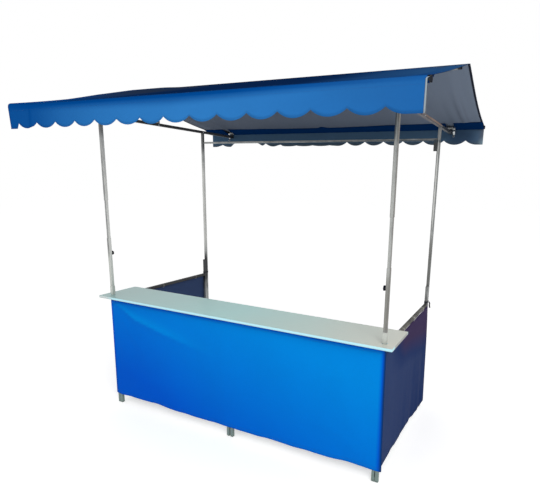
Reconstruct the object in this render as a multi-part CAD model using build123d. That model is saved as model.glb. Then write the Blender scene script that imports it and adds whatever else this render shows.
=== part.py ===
from build123d import *
import os
from math import sqrt

# Market stall: a knock-down frame of galvanised steel tube with a board counter in
# front, a gabled fabric roof with scalloped valances and fabric skirts on three sides.
# Millimetres. +Z is up, +X runs along the counter and -Y is the customer's side.
# The origin is on the ground in the middle of the stall's overall box.

# Plan and heights
post_spacing_x = 2000.0     # corner post to corner post along the counter
post_spacing_y = 1000.0     # front post to rear post
counter_top_z = 819.0       # top of the counter board
front_eave_z = 2012.0       # centre line of the front eave tube
rear_eave_rise = 46.0       # rear eave tube over the front one
ridge_rise = 250.0          # ridge tube over the front eave tube
roof_rail_rise = 12.0       # side roof rails over the front eave tube
tie_rail_drop = 87.0        # rail between the rear posts, under the roof rails
roof_depth = 1852.0         # valance face to valance face
tube_joint_x = -33.0        # where the two halves of each long round tube meet

# Tube sections
post_size = 20.0            # square tube of the frame, the posts and the roof rails
tube_wall = 1.2
tube_corner = 2.0           # outer corner radius of the posts, legs and roof rails
rail_bevel = 1.2            # corners of the base frame's rails and of the rail at the rear
tie_rail_size = 14.0        # square tube of the rail between the rear posts
round_tube = 25.0           # diameter of the eave and ridge tubes
round_wall = 1.5
hook_reach = 45.0           # from the front eave tube's axis back to the end of the rail
hook_lip = 0.7              # how far an eave hook reaches round the tube, as a share of its radius
hook_wall = 1.5             # sheet of the eave hooks
hook_drop = 6.0             # how far the front hook's web reaches below the tube's axis
spigot_depth = 60.0         # how far a tube's spigot goes to each side of a joint
plug_flange = 3.0           # end plugs of the round tubes
plug_depth = 12.0
plug_fin = 2.5              # thickness of the crossed fins inside the tube

# Base frame
frame_gap = 1.0             # between two tubes that stand side by side
middle_gap = 7.0            # between the two half frames at the front
bottom_rail_z = 150.0       # centre line of the bottom rails
rear_leg_top_z = 929.0      # the side frame's rear leg ends here
foot_cap_height = 6.0
foot_cap_bevel = 1.8        # round the foot and up its corners
foot_plug_height = 14.0
hinge_height = 60.0
hinge_leaf = 2.5            # thickness of a hinge leaf
hinge_barrel = 9.0          # diameter of the barrel round the pin
hinge_z = (260.0, 660.0)    # middle of each hinge

# Posts
front_socket_z = 850.0      # the front leg's tube ends here, inside its collar
collar_bottom_z = 832.0
collar_top_z = 881.0
collar_wall = 1.5
front_lower_top_z = 1220.0  # top of the front posts' lower tube
front_upper_bottom_z = 1475.0
rear_upper_bottom_z = 1500.0
slide_overlap = 150.0       # how far the inner tube goes into each thick tube
knob_z = 1115.0
knob_diameter = 28.0
knob_thickness = 9.0
knob_lobes = 6
knob_notch = 12.0           # diameter of the scoops between the lobes
knob_notch_depth = 2.0
stud_diameter = 6.0         # the clamp screw, through a nut on the lower tube
nut_size = 10.0             # across the nut's flats
nut_height = 3.5

# Counter
counter_overhang_x = 60.0   # past the post's centre line
counter_front = 66.0        # front edge to the front posts' centre line
counter_depth = 314.0
counter_thickness = 15.0
counter_hole_clearance = 1.5
counter_corner = 4.0

# Rail between the rear posts
tie_joint_x = -106.0        # where its two halves meet
tie_plate_width = 22.0      # the plate at its right end that drops beside the post
tie_plate_drop = 76.0
tie_plate_thickness = 4.0

# Fabric
cloth = 2.0
clearance = 0.3             # between fabric and tube, and between sliding parts
canopy_length = 2466.0
eave_tube_proud = 4.0       # past the canopy at each end, without the plug
ridge_tube_inset = 44.0     # short of the canopy at each end
front_sag = 6.0             # of each slope, halfway between its tubes
rear_sag = 30.0
valance_depth = 132.0       # top of the eave tube to the tip of a scallop
scallop_pitch = 159.1
scallop_rise = 30.0
front_first_cusp = 79.0     # from the valance's left end
front_left_tab = 62.0       # flat end of the front valance, before it rises to the first cusp
rear_first_cusp = 115.0
scallop_end = 30.0          # a cusp nearer than this to an end is left out
skirt_top_z = 786.0
skirt_bottom_z = 84.0
side_skirt_rear_bottom_z = 45.0
tie_width = 14.0
tie_z = 806.0
tie_tail_length = 50.0
tie_tail_width = 8.0

half_x = post_spacing_x / 2
front_y = -post_spacing_y / 2
rear_y = post_spacing_y / 2
half_post = post_size / 2
inner_size = post_size - 2 * (tube_wall + clearance)
rear_eave_z = front_eave_z + rear_eave_rise
ridge_z = front_eave_z + ridge_rise
roof_rail_z = front_eave_z + roof_rail_rise
tie_rail_z = roof_rail_z - tie_rail_drop
rail_top_z = roof_rail_z + half_post
counter_bottom_z = counter_top_z - counter_thickness
eave_radius = round_tube / 2
eave_y = roof_depth / 2 - cloth - clearance - eave_radius
beside = post_size + frame_gap
top_rail_z = counter_bottom_z - half_post
eave_tube_length = canopy_length + 2 * eave_tube_proud
ridge_tube_length = canopy_length - 2 * ridge_tube_inset

parts = {}


def square_tube(size, length, rounded=True):
    """A square tube that stands on the origin along +Z, open at both ends."""
    outer = RectangleRounded(size, size, tube_corner)
    if not rounded:
        outer = chamfer(Rectangle(size, size).vertices(), rail_bevel)
    inner = Rectangle(size - 2 * tube_wall, size - 2 * tube_wall)
    return extrude(outer - inner, length)


def square_spigot(size):
    """The inner sleeve of a joint at the origin: tight below it, free above it."""
    sleeve = Part()
    for outer, start in ((size - 2 * tube_wall, -spigot_depth), (size - 2 * (tube_wall + clearance), 0)):
        ring = Rectangle(outer, outer) - Rectangle(outer - 2 * tube_wall, outer - 2 * tube_wall)
        sleeve += Pos(0, 0, start) * extrude(ring, spigot_depth)
    return sleeve


def jointed_pipe(length):
    """A round tube along X in two halves, the left one with a spigot that the other slides on."""
    radius = round_tube / 2
    bore = radius - round_wall
    ring = Circle(radius) - Circle(bore)
    left = Pos(0, 0, -length / 2) * extrude(ring, tube_joint_x + length / 2)
    left += Pos(0, 0, tube_joint_x - spigot_depth) * extrude(Circle(bore), spigot_depth)
    left += Pos(0, 0, tube_joint_x) * extrude(Circle(bore - clearance), spigot_depth)
    right = Pos(0, 0, tube_joint_x) * extrude(ring, length / 2 - tube_joint_x)
    return Rot(0, 90, 0) * Compound(children=[left, right])


def end_plugs(length):
    """The plugs in both ends of a round tube along X."""
    reach = round_tube - 2 * (round_wall + clearance)
    cross = Rectangle(reach, plug_fin) + Rectangle(plug_fin, reach)
    plug = extrude(Circle(round_tube / 2), plug_flange) + extrude(cross, -plug_depth)
    return [Rot(0, 90 * side, 0) * Pos(0, 0, length / 2) * plug for side in (-1, 1)]


def upright(x, y, bottom, top, size=post_size):
    """A vertical square tube."""
    return Pos(x, y, bottom) * square_tube(size, top - bottom)


def rail_x(x_start, x_end, y, z, size=post_size):
    """A square tube along X."""
    return Pos(x_start, y, z) * Rot(0, 90, 0) * square_tube(size, x_end - x_start, rounded=False)


def rail_y(x, y_start, y_end, z, rounded=False):
    """A square tube along Y."""
    return Pos(x, y_start, z) * Rot(-90, 0, 0) * square_tube(post_size, y_end - y_start, rounded)


def block(x_range, y_range, z_range):
    """A box between pairs of coordinates."""
    size = [pair[1] - pair[0] for pair in (x_range, y_range, z_range)]
    middle = [(pair[0] + pair[1]) / 2 for pair in (x_range, y_range, z_range)]
    return Pos(*middle) * Box(*size)


# Base frame: two half frames at the front, one frame at each side
outer_leg_x = half_x - beside
inner_leg_x = middle_gap / 2 + half_post
side_rear_leg_y = rear_y - beside
foot_places = []


def add_front_half(name, side):
    """One of the two half frames under the counter. side is -1 for left, 1 for right."""
    for leg, x in (("outer", side * outer_leg_x), ("inner", side * inner_leg_x)):
        parts[f"front_frame_{name}_{leg}_leg"] = upright(x, front_y, foot_cap_height, counter_bottom_z)
        foot_places.append((x, front_y, post_size))
    ends = sorted((side * (inner_leg_x + half_post), side * (outer_leg_x - half_post)))
    for level, z in (("top", top_rail_z), ("bottom", bottom_rail_z)):
        parts[f"front_frame_{name}_{level}_rail"] = rail_x(ends[0], ends[1], front_y, z)


def add_side_frame(name, side):
    """The frame between a front corner and a rear corner."""
    x = side * half_x
    leg = upright(x, front_y, foot_cap_height, front_socket_z)
    collar_size = post_size + 2 * (collar_wall + clearance)
    collar_hole = post_size + 2 * clearance
    bore = post_size - 2 * tube_wall
    outline = RectangleRounded(collar_size, collar_size, tube_corner)
    collar = Pos(x, front_y, collar_bottom_z) * extrude(outline, collar_top_z - collar_bottom_z)
    collar -= Pos(x, front_y, collar_bottom_z) * extrude(Rectangle(bore, bore), collar_top_z)
    collar -= Pos(x, front_y, front_socket_z) * extrude(Rectangle(collar_hole, collar_hole), collar_top_z)
    parts[f"side_frame_{name}_front_leg"] = leg + collar
    foot_places.append((x, front_y, post_size))
    parts[f"side_frame_{name}_rear_leg"] = upright(x, side_rear_leg_y, foot_cap_height, rear_leg_top_z)
    foot_places.append((x, side_rear_leg_y, post_size))
    for level, z in (("top", top_rail_z), ("bottom", bottom_rail_z)):
        rail = rail_y(x, front_y + half_post, side_rear_leg_y - half_post, z)
        parts[f"side_frame_{name}_{level}_rail"] = rail


def clamp_knob():
    """A lobed knob and its stud, which point along +Z from the lower tube's face."""
    scoops = PolarLocations((knob_diameter + knob_notch) / 2 - knob_notch_depth, knob_lobes)
    disc = Circle(knob_diameter / 2) - scoops * Circle(knob_notch / 2)
    reach = tube_wall + clearance
    stud = Pos(0, 0, -reach) * extrude(Circle(stud_diameter / 2), reach + nut_height)
    return Pos(0, 0, nut_height) * extrude(disc, knob_thickness) + stud


def clamped(tube, place):
    """The lower tube with the nut of the clamp screw on it and a hole for the stud."""
    hole = stud_diameter / 2 + clearance
    nut = extrude(RegularPolygon(nut_size / 2, 6, major_radius=False), nut_height)
    cut = Pos(0, 0, -2 * tube_wall) * extrude(Circle(hole), 2 * tube_wall + nut_height)
    return tube + place * nut - place * cut


def add_posts(name, side):
    """The front post of three tubes and the rear post of two."""
    x = side * half_x
    top = roof_rail_z - half_post
    inner_bottom = front_lower_top_z - slide_overlap
    inner_top = front_upper_bottom_z + slide_overlap
    if side > 0:
        knob_place = Pos(x - half_post, front_y, knob_z) * Rot(0, -90, 0)
    else:
        knob_place = Pos(x, front_y + half_post, knob_z) * Rot(-90, 0, 0)
    lower = upright(x, front_y, front_socket_z, front_lower_top_z)
    parts[f"front_post_{name}_lower"] = clamped(lower, knob_place)
    parts[f"front_post_{name}_inner"] = upright(x, front_y, inner_bottom, inner_top, inner_size)
    parts[f"front_post_{name}_upper"] = upright(x, front_y, front_upper_bottom_z, top)
    parts[f"clamp_knob_{name}"] = knob_place * clamp_knob()
    rear_lower = upright(x, rear_y, foot_cap_height, rear_upper_bottom_z)
    rear_lower += Pos(x, rear_y, rear_upper_bottom_z) * square_spigot(post_size)
    parts[f"rear_post_{name}_lower"] = rear_lower
    parts[f"rear_post_{name}_upper"] = upright(x, rear_y, rear_upper_bottom_z, top)
    foot_places.append((x, rear_y, post_size))


for side_name, side_sign in (("left", -1), ("right", 1)):
    add_front_half(side_name, side_sign)
    add_side_frame(side_name, side_sign)
    add_posts(side_name, side_sign)

# Feet: a plastic plug in the open end of each leg
def foot_cap(size):
    """A cap that stands on the origin, with bevels round its foot and a plug above."""
    bore = size - 2 * (tube_wall + clearance)
    outline = chamfer(Rectangle(size, size).vertices(), foot_cap_bevel)
    base = extrude(outline, foot_cap_height)
    base = chamfer(base.edges().group_by(Axis.Z)[0], foot_cap_bevel)
    return base + Pos(0, 0, foot_cap_height) * extrude(Rectangle(bore, bore), foot_plug_height)


parts["foot_caps"] = Compound(children=[Pos(x, y, 0) * foot_cap(size) for x, y, size in foot_places])


# Hinges between the two half frames
def hinge():
    """Two leaves on the inner legs and a barrel with its pin behind them."""
    barrel_y = half_post + clearance + hinge_barrel / 2
    barrel = Pos(0, barrel_y, -hinge_height / 2) * extrude(Circle(hinge_barrel / 2), hinge_height)
    leaf_y = (barrel_y - half_post) / 2
    leaf_depth = barrel_y + half_post
    for side in (-1, 1):
        x = side * (middle_gap - hinge_leaf) / 2
        barrel += Pos(x, leaf_y, 0) * Box(hinge_leaf, leaf_depth, hinge_height)
    return barrel


parts["frame_hinges"] = Compound(children=[Pos(0, front_y, z) * hinge() for z in hinge_z])

# Counter board, slotted over the front legs
counter_front_y = front_y - counter_front
hole = post_size + 2 * (collar_wall + clearance + counter_hole_clearance)
board = extrude(
    RectangleRounded(post_spacing_x + 2 * counter_overhang_x, counter_depth, counter_corner),
    counter_thickness,
)
board = Pos(0, counter_front_y + counter_depth / 2, counter_bottom_z) * board
for side_sign in (-1, 1):
    board -= Pos(side_sign * half_x, front_y, counter_bottom_z + counter_thickness / 2) * Box(hole, hole, 2 * counter_thickness)
parts["counter_top"] = board


# Roof frame
def add_roof_side(name, side):
    """A roof rail on the post tops, with its eave hooks, and the prop under the ridge."""
    x = side * half_x
    rail_front = -eave_y + hook_reach
    rail_rear = eave_y + eave_radius
    rail = rail_y(x, rail_front, rail_rear, roof_rail_z, rounded=True)
    cradle = eave_radius + clearance
    ring = Circle(cradle + hook_wall) - Circle(cradle)
    ring = Rot(0, 90, 0) * Pos(0, 0, -half_post) * extrude(ring, post_size)
    lip = hook_lip * cradle
    half_x_range = (-half_post, half_post)
    front_hook = ring & block(half_x_range, (-lip, 2 * cradle), (-2 * cradle, 0))
    rear_hook = ring & block(half_x_range, (-lip, lip), (-2 * cradle, 0))
    front_hook = Pos(x, -eave_y, front_eave_z) * front_hook
    front_web = block(
        (x - half_post, x + half_post),
        (-eave_y + cradle, rail_front + tube_wall),
        (front_eave_z - hook_drop, roof_rail_z - tube_wall),
    )
    rear_hook = Pos(x, eave_y, rear_eave_z) * rear_hook
    rear_web = block(
        (x - half_post, x + half_post),
        (eave_y - hook_wall, eave_y + hook_wall),
        (rail_top_z, rear_eave_z - cradle),
    )
    parts[f"roof_rail_{name}"] = rail + front_hook + front_web + rear_hook + rear_web
    prop = upright(x, 0, rail_top_z, ridge_z)
    saddle = Pos(x, 0, ridge_z) * Rot(0, 90, 0) * Cylinder(eave_radius + clearance, 2 * post_size)
    parts[f"ridge_prop_{name}"] = prop - saddle


for side_name, side_sign in (("left", -1), ("right", 1)):
    add_roof_side(side_name, side_sign)

plugs = []
for name, y, z, length in (
    ("ridge_tube", 0, ridge_z, ridge_tube_length),
    ("front_eave_tube", -eave_y, front_eave_z, eave_tube_length),
    ("rear_eave_tube", eave_y, rear_eave_z, eave_tube_length),
):
    parts[name] = Pos(0, y, z) * jointed_pipe(length)
    plugs += [Pos(0, y, z) * plug for plug in end_plugs(length)]
parts["tube_end_plugs"] = Compound(children=plugs)

# Rail between the rear posts: two halves on a spigot, and a plate that drops beside the post
tie_end = half_x - half_post
tie_left = rail_x(-tie_end, tie_joint_x, rear_y, tie_rail_z, tie_rail_size)
tie_left += Pos(tie_joint_x, rear_y, tie_rail_z) * Rot(0, 90, 0) * square_spigot(tie_rail_size)
tie_right = rail_x(tie_joint_x, tie_end, rear_y, tie_rail_z, tie_rail_size)
tie_right += block(
    (tie_end - tie_plate_width, tie_end),
    (rear_y - tie_rail_size / 2 - tie_plate_thickness, rear_y - tie_rail_size / 2),
    (tie_rail_z - tie_plate_drop, tie_rail_z + tie_rail_size / 2),
)
parts["rear_tie_rail"] = Compound(children=[tie_left, tie_right])


# Canopy: two slopes that sag between their tubes and meet over the ridge tube
def slope(eave_z, sag, side):
    """A fabric slope from the ridge's top to the eave tube's outside. side is -1 at the front."""
    eave = Vector(side * eave_y, eave_z)
    ridge = Vector(0, ridge_z)
    span = (ridge - eave).length
    upward = Vector(side * (ridge_z - eave_z), eave_y) / span
    reach = ((span / 2) ** 2 + sag ** 2) / (2 * sag)
    centre = (ridge + eave) / 2 + upward * (reach - sag)

    def face(radius):
        """The curves of a face that runs round both tubes at a radius, from the ridge down."""
        to_ridge = (centre - ridge).normalized()
        to_eave = (centre - eave).normalized()
        outward = Vector(side, 0)
        over_ridge = (Vector(0, 1) + to_ridge).normalized()
        over_eave = (to_eave + outward).normalized()
        return [
            ThreePointArc(ridge + Vector(0, radius), ridge + over_ridge * radius, ridge + to_ridge * radius),
            ThreePointArc(ridge + to_ridge * radius, centre - upward * (reach - radius), eave + to_eave * radius),
            ThreePointArc(eave + to_eave * radius, eave + over_eave * radius, eave + outward * radius),
        ]

    under = face(eave_radius + clearance)
    over = face(eave_radius + clearance + cloth)
    ends = [Line(under[0] @ 0, over[0] @ 0), Line(under[-1] @ 1, over[-1] @ 1)]
    return extrude(Plane.YZ * make_face(under + over + ends), canopy_length / 2, both=True)


def valance(first_cusp, tip_z, top_z, left_tab=0):
    """A valance strip in the XZ plane, with round scallops and a flat tab at an end that cuts one."""
    left = -canopy_length / 2
    right = canopy_length / 2
    radius = ((scallop_pitch / 2) ** 2 + scallop_rise ** 2) / (2 * scallop_rise)

    def edge_z(x, middle):
        """Height of a scallop's round edge at x."""
        return tip_z + radius - sqrt(radius ** 2 - (x - middle) ** 2)

    cusp = left + first_cusp - scallop_pitch
    lines = []
    if left_tab:
        cusp = left + first_cusp
        tab_end = (left + left_tab, tip_z)
        lines += [Line((left, tip_z), tab_end), Line(tab_end, (cusp, tip_z + scallop_rise))]
    while cusp < right - scallop_end:
        middle = cusp + scallop_pitch / 2
        start, end = cusp, cusp + scallop_pitch
        if start < left:
            start = max(middle, left)
        if end > right - scallop_end:
            end = min(middle, right)
        if not lines and start > left:
            lines.append(Line((left, tip_z), (start, tip_z)))
        points = [(x, edge_z(x, middle)) for x in (start, (start + end) / 2, end)]
        lines.append(ThreePointArc(*points))
        cusp += scallop_pitch
    last = lines[-1] @ 1
    if last.X < right:
        lines.append(Line(last, (right, tip_z)))
        last = lines[-1] @ 1
    lines.append(Line(last, (right, top_z)))
    lines.append(Line((right, top_z), (left, top_z)))
    lines.append(Line((left, top_z), lines[0] @ 0))
    return Plane.XZ * make_face(lines)


parts["canopy_front_slope"] = slope(front_eave_z, front_sag, -1)
parts["canopy_rear_slope"] = slope(rear_eave_z, rear_sag, 1)
face_y = roof_depth / 2
front_tip_z = front_eave_z + eave_radius - valance_depth
rear_tip_z = rear_eave_z + eave_radius - valance_depth
front_strip = valance(front_first_cusp, front_tip_z, front_eave_z, front_left_tab)
rear_strip = valance(rear_first_cusp, rear_tip_z, rear_eave_z)
parts["front_valance"] = Pos(0, -face_y + cloth, 0) * extrude(front_strip, cloth)
parts["rear_valance"] = Pos(0, face_y, 0) * extrude(rear_strip, cloth)

# Skirts: fabric on the outside of the base frame
skirt_offset = half_post + clearance
skirt_front_y = front_y - skirt_offset
skirt_x = half_x + skirt_offset
parts["front_skirt"] = block(
    (-skirt_x, skirt_x), (skirt_front_y - cloth, skirt_front_y), (skirt_bottom_z, skirt_top_z)
)
side_outline = Polyline(
    (skirt_front_y, skirt_bottom_z),
    (side_rear_leg_y + half_post, side_skirt_rear_bottom_z),
    (side_rear_leg_y + half_post, skirt_top_z),
    (skirt_front_y, skirt_top_z),
    close=True,
)
side_panel = extrude(Plane.YZ * make_face(side_outline), cloth)
parts["side_skirt_left"] = Pos(-skirt_x - cloth, 0, 0) * side_panel
parts["side_skirt_right"] = Pos(skirt_x, 0, 0) * side_panel

# Ties: a tape round each rear post and the leg beside it
ties = []
for side_sign in (-1, 1):
    x = side_sign * half_x
    hole_x = post_size + 2 * clearance
    y_range = (side_rear_leg_y - half_post - clearance, rear_y + half_post + clearance)
    z_range = (tie_z, tie_z + tie_width)
    outer_x = (x - hole_x / 2 - cloth, x + hole_x / 2 + cloth)
    band = block(outer_x, (y_range[0] - cloth, y_range[1] + cloth), z_range)
    band -= block((x - hole_x / 2, x + hole_x / 2), y_range, z_range)
    tail_x = sorted((x + side_sign * (hole_x / 2), x + side_sign * (hole_x / 2 + cloth)))
    tail_y = (rear_y, rear_y + tie_tail_width)
    tail = block(tail_x, tail_y, (tie_z - tie_tail_length, tie_z))
    ties.append(band + tail)
parts["skirt_ties"] = Compound(children=ties)

os.makedirs("parts", exist_ok=True)
for name, solid in parts.items():
    export_step(solid, f"parts/{name}.step")
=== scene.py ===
"""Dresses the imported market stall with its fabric, steel, board and small fittings.

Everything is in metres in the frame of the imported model: +Z up, +X along the counter,
-Y the customer's side.
"""

import logging
import math
from dataclasses import dataclass
from enum import Enum
from typing import Sequence

import bpy
import numpy as np
from mathutils import Matrix, Vector


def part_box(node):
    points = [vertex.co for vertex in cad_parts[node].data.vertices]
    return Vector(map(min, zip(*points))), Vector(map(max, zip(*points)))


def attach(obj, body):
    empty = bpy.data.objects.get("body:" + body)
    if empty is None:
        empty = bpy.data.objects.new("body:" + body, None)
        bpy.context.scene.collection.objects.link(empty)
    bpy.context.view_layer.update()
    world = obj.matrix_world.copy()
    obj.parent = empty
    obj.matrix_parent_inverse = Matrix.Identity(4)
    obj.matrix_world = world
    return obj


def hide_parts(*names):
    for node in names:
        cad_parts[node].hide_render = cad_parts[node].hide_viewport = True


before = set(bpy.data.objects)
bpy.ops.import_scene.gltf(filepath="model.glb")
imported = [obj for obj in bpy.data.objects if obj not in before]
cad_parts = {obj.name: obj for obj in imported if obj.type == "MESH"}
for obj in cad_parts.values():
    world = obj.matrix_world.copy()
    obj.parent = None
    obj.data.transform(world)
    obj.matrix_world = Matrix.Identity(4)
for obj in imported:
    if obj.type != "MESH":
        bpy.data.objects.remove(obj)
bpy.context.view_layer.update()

LOG = logging.getLogger("market_stall")
BODY = "root"
UV_NAME = "Cloth"
TONE = "tone"
LINING = "lining"
THREAD_PROUD = 0.0002
WHITE = (1.0, 1.0, 1.0, 1.0)
Array = np.ndarray
Place = tuple[float, float]
Point = tuple[float, float, float]
Screen = tuple[int, int, int]
Colour = tuple[float, float, float, float]
Socket = bpy.types.NodeSocket
Material = bpy.types.Material
Mesh = bpy.types.Mesh
Object = bpy.types.Object


def screen(colour: Screen) -> Colour:
    """Turns a screen colour into the linear colour that a socket takes.

    Args:
        colour: Red, green and blue from 0 to 255.

    Returns:
        The linear colour with an alpha of 1.
    """
    shares = [part / 255 for part in colour]
    return (*(s / 12.92 if s <= 0.04045 else ((s + 0.055) / 1.055) ** 2.4 for s in shares), 1.0)


class Wire:
    """One output in a shader tree; arithmetic on it adds Math nodes."""

    def __init__(self, tree: "ShaderTree", socket: Socket) -> None:
        """Keeps the tree and the output socket."""
        self.tree, self.socket = tree, socket

    def __getitem__(self, output: str) -> "Wire":
        """Another output of the same node."""
        return Wire(self.tree, self.socket.node.outputs[output])

    def math(self, operation: str, *operands: "Wire | float") -> "Wire":
        """The result of a Math node on values or outputs."""
        return self.tree.node("ShaderNodeMath", {"operation": operation}, dict(enumerate(operands)))

    def __add__(self, other: "Wire | float") -> "Wire":
        """Sum."""
        return self.math("ADD", self, other)

    def __sub__(self, other: "Wire | float") -> "Wire":
        """Difference."""
        return self.math("SUBTRACT", self, other)

    def __rsub__(self, other: float) -> "Wire":
        """Difference from a number."""
        return self.math("SUBTRACT", other, self)

    def __mul__(self, other: "Wire | float") -> "Wire":
        """Product."""
        return self.math("MULTIPLY", self, other)

    def __truediv__(self, other: "Wire | float") -> "Wire":
        """Quotient."""
        return self.math("DIVIDE", self, other)

    def __abs__(self) -> "Wire":
        """Size without its sign."""
        return self.math("ABSOLUTE", self)

    __radd__ = __add__
    __rmul__ = __mul__

    def sine(self) -> "Wire":
        """Sine of an angle in radians."""
        return self.math("SINE", self)

    def above(self, limit: float) -> "Wire":
        """1 where the value is above the limit, else 0."""
        return self.math("GREATER_THAN", self, limit)

    def ease(self, low: float, high: float) -> "Wire":
        """A soft step from 0 at low to 1 at high."""
        inputs = {"Value": self, "From Min": low, "From Max": high}
        return self.tree.node("ShaderNodeMapRange", {"interpolation_type": "SMOOTHSTEP"}, inputs)


@dataclass(frozen=True)
class StainOrPaintedLight:
    """A soft patch of one colour on a finish, round a place: a stain, or painted light or shade;
    ragged ones have an uneven edge.
    """

    centre: Point
    reach: Point
    colour: Screen
    share: float = 0.8
    core: float = 0.55
    ragged: float = 0.0


class ShaderTree:
    """The node tree of a material or of the world."""

    def __init__(self, owner: "Material | bpy.types.World") -> None:
        """Empties the owner's tree."""
        owner.use_nodes = True
        self.owner, self.nodes, self.links = owner, owner.node_tree.nodes, owner.node_tree.links
        self.nodes.clear()

    def node(
        self, kind: str, settings: dict | None = None, inputs: dict | None = None, output: int = 0
    ) -> Wire:
        """Adds one node.

        Args:
            kind: The node's type.
            settings: Properties, set first; "stops" holds a ramp's places and colours.
            inputs: Values or outputs for the sockets, by name or number.
            output: The number of the output that is handed back.

        Returns:
            The chosen output.
        """
        made = self.nodes.new(kind)
        for key, value in (settings or {}).items():
            if key == "stops":
                ramp = made.color_ramp.elements
                while len(ramp) < len(value):
                    ramp.new(0.5)
                for element, (place, colour) in zip(ramp, value):
                    element.position, element.color = place, colour
            else:
                setattr(made, key, value)
        for key, value in (inputs or {}).items():
            if isinstance(value, Wire):
                self.links.new(value.socket, made.inputs[key])
            else:
                made.inputs[key].default_value = value
        return Wire(self, made.outputs[output] if made.outputs else made.inputs[0])

    def vector(self, operation: str, first: Wire, second: Point | Wire, output: int = 0) -> Wire:
        """The result of a Vector Math node on two vectors."""
        inputs = {0: first, 1: second}
        return self.node("ShaderNodeVectorMath", {"operation": operation}, inputs, output)

    def mix(self, factor: Wire | float, first: Wire | Colour, second: Wire | Colour) -> Wire:
        """The second colour over the first, by a share."""
        inputs = {0: factor, 6: first, 7: second}
        return self.node("ShaderNodeMix", {"data_type": "RGBA"}, inputs, output=2)

    def shade(self, colour: Wire, value: Wire) -> Wire:
        """Multiplies a colour by a number, through Vector Math."""
        inputs = {0: colour, "Scale": value}
        return self.node("ShaderNodeVectorMath", {"operation": "SCALE"}, inputs)

    def place(self) -> Wire:
        """Object coordinates."""
        return self.node("ShaderNodeTexCoord")["Object"]

    def axes(self, vector: Wire) -> tuple[Wire, Wire, Wire]:
        """The three parts of a vector."""
        parts = self.node("ShaderNodeSeparateXYZ", None, {0: vector})
        return parts["X"], parts["Y"], parts["Z"]

    def stretched(self, vector: Wire, scale: Point) -> Wire:
        """A vector with each part scaled."""
        return self.vector("MULTIPLY", vector, scale)

    def noise(self, vector: Wire, scale: float, detail: float = 3.0, rough: float = 0.5) -> Wire:
        """Soft noise from 0 to 1."""
        inputs = {"Vector": vector, "Scale": scale, "Detail": detail, "Roughness": rough}
        return self.node("ShaderNodeTexNoise", None, inputs)

    def overlaid(self, colour: Wire, place: Wire, stains: Sequence[StainOrPaintedLight]) -> Wire:
        """Lays soft patches over a colour.

        Args:
            colour: The colour under them.
            place: Object coordinates.
            stains: The patches: stains, painted light and painted shade.

        Returns:
            The colour with the patches over it.
        """
        for stain in stains:
            away = self.vector("SUBTRACT", place, stain.centre)
            scaled = self.stretched(away, tuple(1 / reach for reach in stain.reach))
            if stain.ragged:
                drift = self.noise(place, 1.7, 5.0)["Color"]
                drift = self.vector("SUBTRACT", drift, (0.5, 0.5, 0.5))
                scaled = self.vector("ADD", scaled, self.stretched(drift, (stain.ragged,) * 3))
            distance = self.vector("LENGTH", scaled, (0.0, 0.0, 0.0), output=1)
            share = (1 - distance.ease(stain.core, 1.0)) * stain.share
            colour = self.mix(share, colour, screen(stain.colour))
        return colour

    def bump(
        self, height: Wire, distance: float, strength: float, under: Wire | None = None
    ) -> Wire:
        """A Bump node for Normal.

        Args:
            height: The pattern's height from 0 to 1.
            distance: Its depth in metres.
            strength: How much of it counts.
            under: A bump that this one goes on top of.

        Returns:
            The bent normal.
        """
        inputs = {"Height": height, "Distance": distance, "Strength": strength}
        if under is not None:
            inputs["Normal"] = under
        return self.node("ShaderNodeBump", None, inputs)

    def finish(self, colour: Wire, rough: Wire, normal: Wire, more: dict | None = None) -> Material:
        """Ends the tree in a Principled shader.

        Args:
            colour: The base colour.
            rough: The roughness.
            normal: The bent normal.
            more: Other sockets of the shader; constants are set on them directly.

        Returns:
            The material.
        """
        inputs = {"Base Color": colour, "Roughness": rough, "Normal": normal, **(more or {})}
        shader = self.node("ShaderNodeBsdfPrincipled", None, inputs)
        self.node("ShaderNodeOutputMaterial", None, {"Surface": shader})
        return self.owner


@dataclass(frozen=True)
class ZincSteel:
    """Zinc coated steel: a faint spangle, dull patches, dirt in long streaks, and laid-on patches of
    stain, painted light and painted shade.
    """

    name: str
    bright: Screen
    dull: Screen
    grime: Screen
    grime_share: float = 0.35
    roughness: float = 0.36
    metallic: float = 0.45
    stains: tuple[StainOrPaintedLight, ...] = ()
    spangle_per_metre: float = 130.0

    def material(self) -> Material:
        """Builds the material."""
        tree = ShaderTree(bpy.data.materials.new(self.name))
        place = tree.place()
        inputs = {"Vector": place, "Scale": self.spangle_per_metre}
        spangle = tree.axes(tree.node("ShaderNodeTexVoronoi", None, inputs)["Color"])[0]
        patches = tree.noise(place, 7.0, 4.0, 0.6)
        streaks = tree.noise(tree.stretched(place, (60.0, 60.0, 5.0)), 1.0, 5.0, 0.65)
        dirt = (streaks * patches).ease(0.22, 0.46) * self.grime_share
        colour = tree.mix(patches.ease(0.35, 0.7), screen(self.bright), screen(self.dull))
        colour = tree.overlaid(tree.mix(dirt, colour, screen(self.grime)), place, self.stains)
        scratch = tree.noise(tree.stretched(place, (900.0, 900.0, 60.0)), 1.0, 2.0)
        return tree.finish(
            tree.shade(colour, 0.94 + spangle * 0.1),
            self.roughness + spangle * 0.08 + dirt * 0.3,
            tree.bump(scratch, 0.0004, 0.12),
            {"Metallic": self.metallic - dirt * 0.4},
        )


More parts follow.
